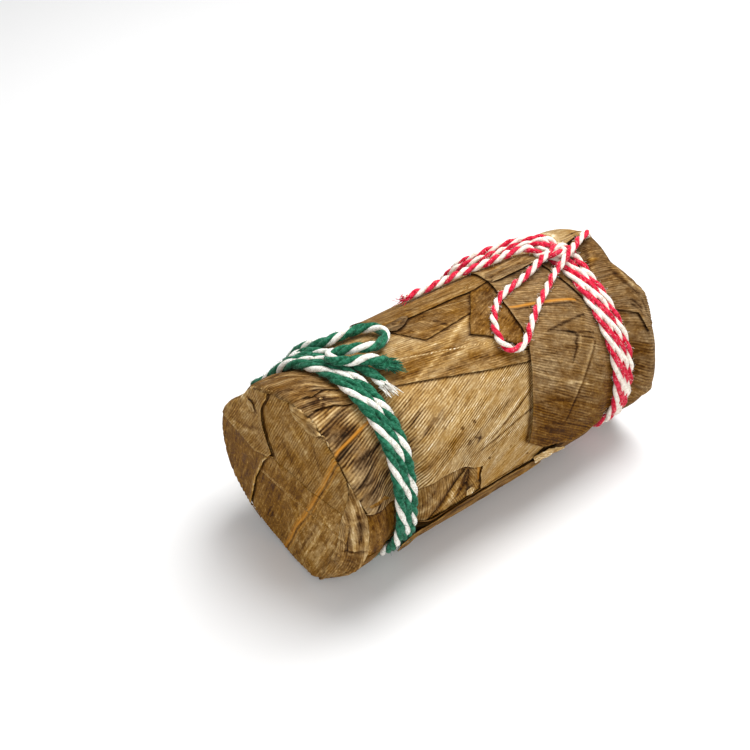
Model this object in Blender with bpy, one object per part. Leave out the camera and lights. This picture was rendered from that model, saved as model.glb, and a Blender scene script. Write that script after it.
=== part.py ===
"""A rice dumpling wrapped in dried bamboo leaves and tied with two twines.

The parcel lies along X on a narrow flat at z = 0.  A place on its side is given by x along the
parcel and by an angle round its axis: 0 on top, positive towards -Y, 180 underneath.
Lengths are written in millimetres and angles in degrees, and turn into metres only where a
point is placed.
"""
import math

import bmesh
import bpy
from mathutils import Vector

MM = 0.001
COLLECTION_NAME = "zongzi_rice_dumpling"

# ---- driving sizes of the parcel ----------------------------------------------------------
MID_RADIUS = 35.0          # over the leaves, half-way along
TAPER = 0.014              # radius lost per mm towards +X
WRAP_BUILD = 0.9           # room that the outer leaves take on the parcel
BASE_SINK = 0.5            # how deep the round side is pressed flat underneath
NEAR_SIDE_END = -60.5      # where the outer leaves stop before the -X end
FAR_SIDE_END = 60.0        # and before the +X end
NEAR_RIM_X = -62.2         # where the side turns into the -X end
RIM_ROUNDING = 2.0         # radius of the turned-in rim
FAR_REACH = 66.0           # mean x of the far rim's folds
FAR_FOLD = 2.8             # how far the folds stand before and behind that
FAR_RIM_INSET = 0.4        # the folds' edge lies this deep under the side
CUT_MERGE = 1e-6           # distance at which a cut reuses a vertex
FAR_FACE_SHARE = 0.8       # radius share and x of the ring where the far folds flatten out
FAR_RING_X = 63.5
FAR_FOLD_COUNT = 7
FAR_FOLD_ANGLE = 42.0      # angle of one fold's corner
FAR_FACE_X = 64.5          # middle of the far end
FACET_ANGLE = 9.0          # facets round the parcel
GAP = 0.3                  # clearance between the edges of neighbouring pieces
SHARP_CORNER = 0.35        # least mitre share at a leaf's pointed corner
LEAF_GAP = 0.45            # clearance between a leaf and the parcel under it

# ---- the flattened back and the waists under the ties ----------------------------------------
BACK_ANGLE, BACK_SPREAD = -55.0, 26.0
BACK_FLATNESS = 1.4        # depth of the flattened back half-way along
BACK_FLATNESS_TAPER = 0.019  # depth lost per mm towards +X
WAIST_DEPTH = 3.2
WAIST_UNDER = 2.1          # more depth underneath, where the twine clears the table
UNDER_SPREAD = 42.0
BARE_SPREAD = 20.0         # underneath, no outer leaf lies on the parcel
WAIST_REACH = 9.5

# ---- the ties --------------------------------------------------------------------------------
LEAF_RISE_MAX = 0.9
TWINE_LAY = 0.4            # slack between a twine and what it lies on
CROSSING_SLACK = 0.3       # and between two strands that cross
GREEN_X = -44.2            # middle of each waist
RED_X = 48.5
LEAN_ANGLE, LEAN_SPREAD = -75.0, 50.0
GREEN_LEAN = -7.0          # the green turns lean towards -X on the back
TURN_STEP = 14.0           # degrees between the points of a turn
ROUTE_STEPS = 10           # points read from the smooth route between two of its own
TURN_SPACING = 6.0         # spacing of a tube's sections, in strand radii, on the turns
BOW_SPACING = 4.0          # and on the bows

SIDE_STATIONS = (NEAR_SIDE_END, -58, -55.5, -52, -49, -41, -38, -34.5, -30,
                 34, 37.5, 41, 45, 52, 56, FAR_SIDE_END)

# ---- finishes --------------------------------------------------------------------------------
LEAF_ROUGHNESS = 0.55
TWINE_ROUGHNESS = 0.85
SMOOTH_ANGLE = 30.0        # edges sharper than this are shaded as edges
TAN = (0.45, 0.31, 0.16)
OLIVE = (0.30, 0.21, 0.09)
GREY_BROWN = (0.22, 0.16, 0.11)
GOLDEN = (0.28, 0.18, 0.06)
DARK_BROWN = (0.13, 0.07, 0.03)
GREEN = (0.03, 0.20, 0.12)
RED = (0.70, 0.04, 0.08)

# ---- outer leaves on the side: rise above the parcel, colour, outline as (x, angle) ---------
SIDE_LEAVES = {
    "near_flap_leaf": (0.75, OLIVE, [(-60.5, -25), (-60.5, 7.5), (-55, 10), (-45, 9.5), (-45, -25)]),
    "near_under_leaf": (0.45, GREY_BROWN, [(-60.5, 7.5), (-60.5, 17), (-45, 21), (-45, 9.5), (-55, 10)]),
    "centre_leaf": (0.5, TAN, [
        (-60.5, 17), (-60.5, 72), (-58, 77), (-39, 79), (-20.5, 80), (-14.5, 88), (-13.5, 104),
        (-9, 108), (10, 107), (13, 99), (12, 97.5), (5.5, 87), (8, 68), (10, 58), (12.5, 44.5),
        (-38, 22), (-45, 21)]),
    "strip_leaf": (0.6, OLIVE, [
        (-45, -25), (-45, 21), (-38, 22), (12.5, 44.5), (14.5, 37.5), (0.5, 18.5), (6.6, 6.8),
        (-13.5, 9.7), (-20.5, -9), (-20.5, -25)]),
    "upper_leaf": (0.75, GREY_BROWN, [(-20.5, -9), (-13.5, 9.7), (6.6, 6.8), (14.5, -8)]),
    "golden_leaf": (0.8, GOLDEN, [(0.5, 18.5), (14.5, 37.5), (17.5, 29), (18.5, 12), (21.5, -8), (14.5, -8),
                                  (6.6, 6.8)]),
    "ridge_leaf": (0.9, TAN, [(-20.5, -75), (-20.5, -9), (14.5, -8), (21.5, -8), (22.5, -18), (22.5, -75)]),
    "far_top_leaf": (0.75, TAN, [(22.5, -75), (22.5, -18), (21.5, -8), (25, -5), (47.5, -4.3), (54, -5.8),
                                (59.5, -8), (59.5, -75)]),
    "far_leaf": (0.9, GREY_BROWN, [
        (21.5, -8), (18.5, 12), (17.5, 29), (14.5, 37.5), (12.5, 44.5), (10, 58), (8, 68), (5.5, 87),
        (12, 97.5), (24, 104.5), (59.5, 104.5), (59.5, 50), (52, 39), (47.5, 35), (47.5, -4.3), (25, -5)]),
    "far_flap_leaf": (0.6, GREY_BROWN, [
        (47.5, -4.3), (47.5, 35), (52, 39), (59.5, 50), (59.5, -8), (54, -5.8)]),
    "low_leaf": (0.4, DARK_BROWN, [(-58, 77), (-60.5, 90), (-60.5, 107), (-44, 107), (-38, 102.5), (-30, 91),
                                   (-20.5, 80), (-39, 79)]),
    "tuck_leaf": (0.6, GOLDEN, [(-20.5, 80), (-30, 91), (-38, 102.5), (-36, 108), (-17, 108), (-13.5, 104),
                                (-14.5, 88)]),
    "near_back_leaf": (0.5, OLIVE, [(-60.5, -120), (-60.5, -25), (-20.5, -25), (-20.5, -75), (-26, -120)]),
    "back_leaf": (0.7, TAN, [(-26, -120), (-20.5, -75), (59.5, -75), (59.5, -105), (20, -128)]),
    "low_back_leaf": (0.45, GREY_BROWN, [(-60.5, -150), (-60.5, -120), (-26, -120), (20, -128), (59.5, -105),
                                        (59.5, -150)]),
    "under_leaf": (0.4, DARK_BROWN, [(-60.5, 107), (-60.5, 140), (59.5, 140), (59.5, 104.5), (24, 104.5),
                                     (12, 97.5), (13, 99), (10, 107), (-9, 108), (-13.5, 104), (-17, 108),
                                     (-36, 108), (-38, 102.5), (-44, 107)]),
}

# ---- folded leaves on the ends ------------------------------------------------------------------
END_PLATE_RADIUS = 33.3
END_PLATE_SIDES = 36
NEAR_FACE_X = NEAR_RIM_X - RIM_ROUNDING
FOLD_HEIGHT = 6.0                                 # a fold runs across, above the axis
LOW_CREASE = ((9.0, 6.0), (20.5, -28.5))          # creases as two points (y, height over the axis)
HIGH_CREASE = ((3.0, 6.0), (8.0, 30.0))
# rise, colour and whether the leaf lies above the fold and on the +Y side of its crease
NEAR_END_LEAVES = {
    "end_leaf": (0.9, OLIVE, False, False),
    "end_left_leaf": (1.1, GOLDEN, False, True),
    "end_top_leaf": (0.6, TAN, True, False),
    "end_flap_leaf": (1.0, OLIVE, True, True),
}

# ---- routes of the two twines: x, angle and level (1 = one strand up) -----------------------------
# The green strand: a cut end, across the band, round the parcel, then the two bow loops and
# the other cut end.
GREEN_HEAD = [(-33.4, 21, 0), (-34.4, 15, 0.05), (-36, 8, 0.85), (-40.4, 2, 1.15), (-45.9, -3, 1.15),
              (-50.4, -8, 0.4), (-52.9, -15, 0)]
GREEN_TAIL = [(-39.7, -6, 0.05), (-37.9, -13, 0.35), (-33.9, -17, 0.8), (-28.4, -19.5, 0.3), (-22.4, -22, 0.05),
              (-17.7, -19.5, 0.05), (-16.4, -14, 0.05), (-19.4, -7.5, 0.05), (-26.4, -4.5, 0.3),
              (-32.4, -3.5, 0.85), (-37.4, -5, 1.4), (-42.4, -10, 1.2), (-47.4, -18, 1.1), (-52.4, -26, 1.2),
              (-56.9, -33.5, 0.85), (-58.4, -41, 0.6), (-54.4, -46, 0.9), (-49.4, -42, 1.05), (-44.4, -34, 1.1),
              (-40.4, -25, 0.9), (-37.9, -17, 1.65), (-35.4, -9, 1.85), (-32.4, -1, 1.7), (-29.4, 5, 0.6),
              (-25.9, 11, 0)]
# The red strand: a cut end, over the knot and out along the long bow loop, back across the
# band, round the parcel, then a short loop over the back and the other cut end along the top.
RED_HEAD = [(67, -8, 0.3), (62, -5, 0.6), (57.5, -1.5, 1.1), (54, 1.5, 1.55), (50, 5, 2.1), (45, 8, 1.3),
            (40, 12.5, 0.6), (35, 17, 0.2), (30, 22, 0), (24, 27.5, 0), (19, 31, 0), (16, 35.5, 0),
            (12.5, 37.5, 0), (9, 35, 0), (7.5, 30, 0), (8, 24, 0), (10, 19, 0), (13, 14, 0), (18, 8, 0),
            (24, 5, 0), (30, 3, 0.1), (37, 0, 0.5), (43, -3, 1.15), (48, -4.5, 1.2), (52.5, -3.5, 1.1),
            (55.2, 1.5, 0.2), (54, 8, 0)]
RED_TAIL = [(41.8, -24, 0), (42.6, -15.5, 0.55), (45.5, -10.5, 1.1), (49.0, -13.5, 1.1), (48.5, -19, 1.15),
            (43, -24, 1.1), (35, -28.5, 0.4), (28, -34, 0), (23, -40.5, 0), (22.5, -47, 0), (28, -50, 0),
            (34, -46, 0.3), (39.5, -38, 1.0), (44, -30, 1.15), (47.5, -22, 2.2), (46.5, -15.5, 2.2),
            (42, -15.5, 1.7), (37, -19, 0.5), (30, -23, 0.1), (20, -27, 0), (10, -29, 0), (2, -30, 0),
            (-5, -31, 0)]


def bump(value):
    """Return a smooth hill of height 1 about zero, one unit wide."""
    return math.exp(-value * value)


def wrapped(angle):
    """Return an angle in degrees between -180 and 180."""
    return (angle + 180.0) % 360.0 - 180.0


def bare_radius(x):
    """Return the parcel's radius under its outer leaves, without waists."""
    return MID_RADIUS - TAPER * x - WRAP_BUILD


def axis_height(x):
    """Return the axis height, so that the parcel stands on its flattened side."""
    return bare_radius(x) - BASE_SINK


def under_share(angle, spread):
    """Return how far an angle counts as underneath, 1 at the very bottom."""
    return bump(wrapped(angle - 180.0) / spread)


def green_lean(angle):
    """Return how far the green turns and their waist are drawn along x at an angle."""
    return GREEN_LEAN * bump(wrapped(angle - LEAN_ANGLE) / LEAN_SPREAD)


def parcel_radius(x, angle):
    """Return the parcel's radius with its flat back and its two waists."""
    flatness = BACK_FLATNESS - BACK_FLATNESS_TAPER * x
    radius = bare_radius(x) - flatness * bump(wrapped(angle - BACK_ANGLE) / BACK_SPREAD)
    depth = WAIST_DEPTH + WAIST_UNDER * under_share(angle, UNDER_SPREAD)
    for waist_x in (GREEN_X + green_lean(angle), RED_X):
        radius -= depth * math.exp(-abs((x - waist_x) / WAIST_REACH) ** 4)
    return radius


def surface_point(x, angle, height):
    """Return the point, in metres, a height above the parcel's side, never below the table."""
    radius = parcel_radius(x, angle) + height
    turn = math.radians(angle)
    z = axis_height(x) + radius * math.cos(turn)
    return Vector((x, -radius * math.sin(turn), max(z, 0.0))) * MM


def material(name, colour, roughness):
    """Return a plain Principled material."""
    result = bpy.data.materials.new(name)
    result.use_nodes = True
    shader = result.node_tree.nodes["Principled BSDF"]
    shader.inputs["Base Color"].default_value = (*colour, 1.0)
    shader.inputs["Roughness"].default_value = roughness
    return result


def add_object(name, data, finish):
    """Link one named object with its own material to the object's collection."""
    data.materials.append(finish)
    result = bpy.data.objects.new(name, data)
    bpy.data.collections[COLLECTION_NAME].objects.link(result)
    return result


def add_mesh(name, bm, colour):
    """Turn a bmesh into a closed, outward-facing object."""
    bmesh.ops.recalc_face_normals(bm, faces=bm.faces[:])
    if bm.calc_volume(signed=True) < 0.0:
        bmesh.ops.reverse_faces(bm, faces=bm.faces[:])
    bmesh.ops.triangulate(bm, faces=bm.faces[:])
    mesh = bpy.data.meshes.new(name)
    bm.to_mesh(mesh)
    bm.free()
    mesh.shade_smooth()
    mesh.set_sharp_from_angle(angle=math.radians(SMOOTH_ANGLE))
    return add_object(name, mesh, material(name + "_finish", colour, LEAF_ROUGHNESS))


def far_rim_x(angle):
    """Return how far the folded far rim reaches at an angle."""
    return FAR_REACH + FAR_FOLD * math.cos(math.radians(FAR_FOLD_COUNT * (angle - FAR_FOLD_ANGLE)))


def build_parcel():
    """Loft the wrapped body: near rim, side, and the far rim with its folds."""
    angles = [index * FACET_ANGLE for index in range(int(360 / FACET_ANGLE))]
    bm = bmesh.new()
    rings = []
    for turn in (math.pi / 2.0, math.pi / 4.0, 0.0):
        x = NEAR_RIM_X - RIM_ROUNDING * math.sin(turn)
        height = WRAP_BUILD - RIM_ROUNDING * (1.0 - math.cos(turn))
        rings.append([bm.verts.new(surface_point(x, angle, height)) for angle in angles])
    for x in SIDE_STATIONS:
        rings.append([bm.verts.new(surface_point(x, angle, 0.0)) for angle in angles])
    middle_x = (FAR_SIDE_END + FAR_REACH) / 2.0
    rings.append([bm.verts.new(surface_point(middle_x, angle, 0.0)) for angle in angles])
    rings.append([bm.verts.new(surface_point(far_rim_x(angle), angle, -FAR_RIM_INSET)) for angle in angles])
    sunk = -bare_radius(FAR_REACH) * (1.0 - FAR_FACE_SHARE)
    rings.append([bm.verts.new(surface_point(FAR_RING_X, angle, sunk)) for angle in angles])
    count = len(angles)
    for ring, following in zip(rings, rings[1:]):
        for index in range(count):
            after = (index + 1) % count
            bm.faces.new((ring[index], ring[after], following[after], following[index]))
    for ring, x in ((rings[0], NEAR_FACE_X), (rings[-1], FAR_FACE_X)):
        middle = bm.verts.new(Vector((x, 0.0, axis_height(x))) * MM)
        for index in range(count):
            bm.faces.new((ring[index], ring[(index + 1) % count], middle))
    add_mesh("leaf_parcel", bm, OLIVE)


def inset_outline(outline, distance):
    """Return a flat outline with every edge moved inwards by a distance."""
    area = sum(a.x * b.y - b.x * a.y for a, b in zip(outline, outline[1:] + outline[:1]))
    side = 1.0 if area > 0 else -1.0
    result = []
    for index, corner in enumerate(outline):
        before = (corner - outline[index - 1]).normalized()
        after = (outline[(index + 1) % len(outline)] - corner).normalized()
        normal = Vector((-before.y, before.x)) * side
        other = Vector((-after.y, after.x)) * side
        half = (normal + other).normalized()
        result.append(corner + half * distance / max(half.dot(normal), SHARP_CORNER))
    return result


def thicken(bm, place, rise):
    """Close a flat sheet into a plate: place() puts a vertex at a height over the parcel."""
    made = bmesh.ops.extrude_face_region(bm, geom=bm.faces[:], use_keep_orig=True)
    upper = {item for item in made["geom"] if isinstance(item, bmesh.types.BMVert)}
    for vertex in bm.verts:
        vertex.co = place(vertex.co, LEAF_GAP + rise if vertex in upper else LEAF_GAP)


def build_side_leaf(name, rise, colour, outline):
    """Cut one outer leaf in the flat, facet it as the parcel is, and lay it on the side."""
    arc = math.radians(MID_RADIUS)
    flat = inset_outline([Vector((x, angle * arc)) for x, angle in outline], GAP / 2.0)
    bm = bmesh.new()
    bm.faces.new([bm.verts.new((point.x, point.y, 0.0)) for point in flat])
    cuts = [(Vector((x, 0, 0)), Vector((1, 0, 0))) for x in SIDE_STATIONS]
    facets = int(180 / FACET_ANGLE)
    cuts += [(Vector((0, step * FACET_ANGLE * arc, 0)), Vector((0, 1, 0))) for step in range(-facets, facets)]
    for point, normal in cuts:
        geometry = bm.verts[:] + bm.edges[:] + bm.faces[:]
        bmesh.ops.bisect_plane(bm, geom=geometry, dist=CUT_MERGE, plane_co=point, plane_no=normal)
    thicken(bm, lambda co, height: surface_point(co.x, co.y / arc, height), rise)
    add_mesh(name, bm, colour)


def crease_cut(crease, upper_side):
    """Return a cut along a crease that keeps its +Y side or the other."""
    start, end = Vector((*crease[0], 0)), Vector((*crease[1], 0))
    along = end - start
    across = Vector((along.y, -along.x, 0)).normalized()
    if (across.x > 0) != upper_side:
        across.negate()
    return start + across * GAP / 2.0, across


def build_end_leaf(name, rise, colour, above, plus_y):
    """Cut one folded leaf of the near end out of a disc and set it on the face."""
    bm = bmesh.new()
    bmesh.ops.create_circle(bm, cap_ends=True, radius=END_PLATE_RADIUS, segments=END_PLATE_SIDES)
    across = Vector((0, 1 if above else -1, 0))
    cuts = [(Vector((0, FOLD_HEIGHT, 0)) + across * GAP / 2.0, across)]
    cuts.append(crease_cut(HIGH_CREASE if above else LOW_CREASE, plus_y))
    for point, normal in cuts:
        geometry = bm.verts[:] + bm.edges[:] + bm.faces[:]
        bmesh.ops.bisect_plane(bm, geom=geometry, dist=CUT_MERGE, plane_co=point, plane_no=normal,
                               clear_inner=True)
    centre = axis_height(NEAR_FACE_X)
    thicken(bm, lambda co, height: Vector((NEAR_FACE_X - height, co.x, centre + co.y)) * MM, rise)
    add_mesh(name, bm, colour)


def smooth_route(points):
    """Return points on a Catmull-Rom curve through a route's own points."""
    padded = [points[0] * 2 - points[1]] + points + [points[-1] * 2 - points[-2]]
    result = []
    for first, start, end, last in zip(padded, padded[1:], padded[2:], padded[3:]):
        for step in range(ROUTE_STEPS):
            t = step / ROUTE_STEPS
            result.append(0.5 * (2 * start + (end - first) * t
                                 + (2 * first - 5 * start + 4 * end - last) * t ** 2
                                 + (3 * start - first - 3 * end + last) * t ** 3))
    return result + [points[-1]]


def even_points(points, spacing):
    """Return a route's points again at even spacing, its two ends kept."""
    lengths = [(b - a).length for a, b in zip(points, points[1:])]
    count = max(2, round(sum(lengths) / spacing))
    step = sum(lengths) / count
    result, travelled, target = [points[0]], 0.0, step
    for start, end, length in zip(points, points[1:], lengths):
        while length and travelled + length >= target - 1e-9 and len(result) < count:
            result.append(start.lerp(end, (target - travelled) / length))
            target += step
        travelled += length
    return result + [points[-1]]


def twine_point(place, radius):
    """Return the centre of a strand at a route's place (x, angle, level)."""
    x, angle, level = place
    leaf = (LEAF_GAP + LEAF_RISE_MAX + GAP) * (1.0 - under_share(angle, BARE_SPREAD))
    height = leaf + TWINE_LAY + radius + level * (2 * radius + CROSSING_SLACK)
    return surface_point(x, angle, height)


def build_twine(name, colour, radius, turns, shift, start_x, lean, head, tail):
    """Run one strand from its cut end round the parcel and through its bow."""
    whole = 360.0 * turns
    direction = math.copysign(1.0, turns)
    start_angle = head[-1][1] + direction * TURN_STEP
    end_angle = tail[0][1] + whole - direction * TURN_STEP
    count = round(abs(end_angle - start_angle) / TURN_STEP)
    band = []
    for index in range(count + 1):
        angle = start_angle + (end_angle - start_angle) * index / count
        x = start_x + shift * angle / 360.0 + (lean(angle) if lean else 0.0)
        band.append((x, angle, 0.0))
    tail = [(x, angle + whole, level) for x, angle, level in tail]
    places = smooth_route([Vector(place) for place in head + band + tail])
    route = [twine_point(place, radius) for place in places]
    first = len(head) * ROUTE_STEPS
    last = first + len(band) * ROUTE_STEPS
    points = even_points(route[:first + 1], BOW_SPACING * radius * MM)
    points += even_points(route[first:last + 1], TURN_SPACING * radius * MM)[1:]
    points += even_points(route[last:], BOW_SPACING * radius * MM)[1:]
    curve = bpy.data.curves.new(name, "CURVE")
    curve.dimensions = "3D"
    curve.bevel_depth = radius * MM
    curve.bevel_resolution = 2
    curve.use_fill_caps = True
    spline = curve.splines.new("POLY")
    spline.points.add(len(points) - 1)
    for target, point in zip(spline.points, points):
        target.co = (*point, 1.0)
    add_object(name, curve, material(name + "_cotton", colour, TWINE_ROUGHNESS))


# name: colour, strand radius, turns, shift of x for each turn towards +angle, first x, lean of
# the turns, head, tail; the green turns run towards -angle and the red ones towards +angle
TWINES = {
    "green_twine": (GREEN, 1.6, -3, -3.5, -49.9, green_lean, GREEN_HEAD, GREEN_TAIL),
    "red_twine": (RED, 1.25, 4, -2.85, 53.0, None, RED_HEAD, RED_TAIL),
}


def main():
    """Build the parcel, its outer leaves and its two ties."""
    for item in list(bpy.data.objects):
        bpy.data.objects.remove(item)
    bpy.context.scene.collection.children.link(bpy.data.collections.new(COLLECTION_NAME))
    build_parcel()
    for name, (rise, colour, outline) in SIDE_LEAVES.items():
        build_side_leaf(name, rise, colour, outline)
    for name, (rise, colour, above, plus_y) in NEAR_END_LEAVES.items():
        build_end_leaf(name, rise, colour, above, plus_y)
    for name, sizes in TWINES.items():
        build_twine(name, *sizes)


main()
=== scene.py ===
"""Looks of a rice dumpling wrapped in bamboo leaves and tied with two striped twines.

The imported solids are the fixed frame.  Every leaf is a thin closed sheet laid on the parcel's
form, and both twines are twisted from separate cotton plies.  A place on the parcel's side is
given by x along it and by an angle round its axis: 0 on top, positive towards -Y and 180
underneath.  A place on an end is given by y and z.  Lengths are millimetres and angles degrees
until a mesh is made.
"""
from __future__ import annotations

import logging
import math
from dataclasses import dataclass, field
from enum import Enum

import bpy
import numpy as np
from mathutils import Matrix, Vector
from mathutils.geometry import delaunay_2d_cdt


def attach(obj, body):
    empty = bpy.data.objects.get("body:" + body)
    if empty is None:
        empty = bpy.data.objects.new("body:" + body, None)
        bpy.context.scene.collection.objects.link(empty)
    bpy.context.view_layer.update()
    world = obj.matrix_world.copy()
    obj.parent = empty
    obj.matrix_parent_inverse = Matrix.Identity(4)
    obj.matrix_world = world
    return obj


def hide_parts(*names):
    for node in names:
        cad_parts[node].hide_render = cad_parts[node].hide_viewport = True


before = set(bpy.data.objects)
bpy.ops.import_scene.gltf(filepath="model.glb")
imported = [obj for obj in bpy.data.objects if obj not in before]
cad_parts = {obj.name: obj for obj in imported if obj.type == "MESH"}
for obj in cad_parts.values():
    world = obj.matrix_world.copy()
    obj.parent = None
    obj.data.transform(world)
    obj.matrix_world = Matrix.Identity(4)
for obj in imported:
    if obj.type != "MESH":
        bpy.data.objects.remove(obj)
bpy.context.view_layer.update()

LOG = logging.getLogger("dumpling")
MM = 0.001
BODY = "root"
TONE_LAYER = "leaf_tone"      # red: dark to light, green: cool to warm, blue: midrib
GRAIN_LAYER = "grain"         # along and across the veins, in UV units
GRAIN_UNIT = 100.0            # millimetres in one UV unit
WAVE_UNIT = 20.0              # a wave texture's own units for one turn of its bands
RIM_MARKS = (-59.9, 62.9)     # outline places past these run on to the rims
ARC = math.radians(35.0)      # millimetres of leaf in one degree round the parcel
EDGE_LIGHTENING_REACH = 0.45               # how far in from its own edge a leaf's tone is raised
PAINTED_SHADE_REACH = 0.55             # how far out from its edge a leaf above paints shade on the leaf below
WIDE_STROKE = 0.9             # strokes wider than this have streaky sides

Points = np.ndarray
Outline = tuple[tuple[float, float], ...]


# ---- small tools ---------------------------------------------------------------------------
def linear(colour: str) -> tuple[float, float, float, float]:
    """Turn an sRGB hex colour such as "#8a6e4f" into linear RGBA."""
    channels = [int(colour[index:index + 2], 16) / 255.0 for index in (1, 3, 5)]
    channels = [c / 12.92 if c <= 0.04045 else ((c + 0.055) / 1.055) ** 2.4 for c in channels]
    return (channels[0], channels[1], channels[2], 1.0)


def hill(value: Points) -> Points:
    """Return a smooth hill of height 1 about zero, one unit wide."""
    return np.exp(-np.square(value))


def wrapped(angle: Points) -> Points:
    """Return angles in degrees between -180 and 180."""
    return (np.asarray(angle) + 180.0) % 360.0 - 180.0


def smooth_step(value: Points) -> Points:
    """Return 0 below 0, 1 above 1 and a smooth change between."""
    value = np.clip(value, 0.0, 1.0)
    return value * value * (3.0 - 2.0 * value)


def line_distance(points: Points, line: Points) -> tuple[Points, Points]:
    """Measure how far points lie from a polyline.

    Args:
        points: places in the plane, one to a row.
        line: the polyline's corners, one to a row.

    Returns:
        The distances, and how far along the line the nearest spot is, from 0 to 1.
    """
    best = np.full(len(points), np.inf)
    share = np.zeros(len(points))
    lengths = np.linalg.norm(np.diff(line, axis=0), axis=1)
    starts = np.concatenate(([0.0], np.cumsum(lengths)))
    for index, length in enumerate(lengths):
        if length < 1e-9:
            continue
        step = (line[index + 1] - line[index]) / length
        offset = points - line[index]
        along = np.clip(offset @ step, 0.0, length)
        gap = offset - along[:, None] * step
        distance = np.einsum("ij,ij->i", gap, gap)
        closer = distance < best
        best[closer] = distance[closer]
        share[closer] = (starts[index] + along[closer]) / starts[-1]
    return np.sqrt(best), share


def inside(points: Points, polygon: Points) -> Points:
    """Return which points lie inside a closed polygon."""
    result = np.zeros(len(points), bool)
    x, y = points[:, 0], points[:, 1]
    for (x0, y0), (x1, y1) in zip(polygon, np.roll(polygon, -1, axis=0)):
        if y0 == y1:
            continue
        crosses = (y0 > y) != (y1 > y)
        result ^= crosses & (x < (x1 - x0) * (y - y0) / (y1 - y0) + x0)
    return result


@dataclass(frozen=True)
class Grain:
    """Seeded value noise on a plane, the same on every run."""

    seed: int

    def corner(self, column: Points, row: Points) -> Points:
        """Return the lattice's value at whole columns and rows, from -1 to 1."""
        mixed = (column * 374761393 + row * 668265263 + self.seed * 974634777) & 0xFFFFFFFF
        mixed = ((mixed ^ (mixed >> 13)) * 1274126177) & 0xFFFFFFFF
        return ((mixed ^ (mixed >> 16)) & 0xFFFF) / 32767.5 - 1.0

    def at(self, u: Points, v: Points) -> Points:
        """Return smooth noise at points, from -1 to 1, with bumps one unit wide."""
        column, row = np.floor(u).astype(np.int64), np.floor(v).astype(np.int64)
        fu, fv = smooth_step(u - column), smooth_step(v - row)
        low = self.corner(column, row) * (1 - fu) + self.corner(column + 1, row) * fu
        high = self.corner(column, row + 1) * (1 - fu) + self.corner(column + 1, row + 1) * fu
        return low * (1 - fv) + high * fv

    def layered(self, u: Points, v: Points, layers: int = 3) -> Points:
        """Return noise summed over layers of halved size and strength."""
        total = np.zeros(np.shape(u))
        for layer in range(layers):
            scale = 2.0 ** layer
            total += self.at(u * scale + 17.3 * layer, v * scale - 9.1 * layer) / scale
        return total / (2.0 - 2.0 ** (1 - layers))


# ---- the parcel's form -----------------------------------------------------------------------
class Chart(Enum):
    """The three plane maps that a leaf can be cut in."""

    SIDE = "side"
    NEAR_END = "near end"
    FAR_END = "far end"


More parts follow.
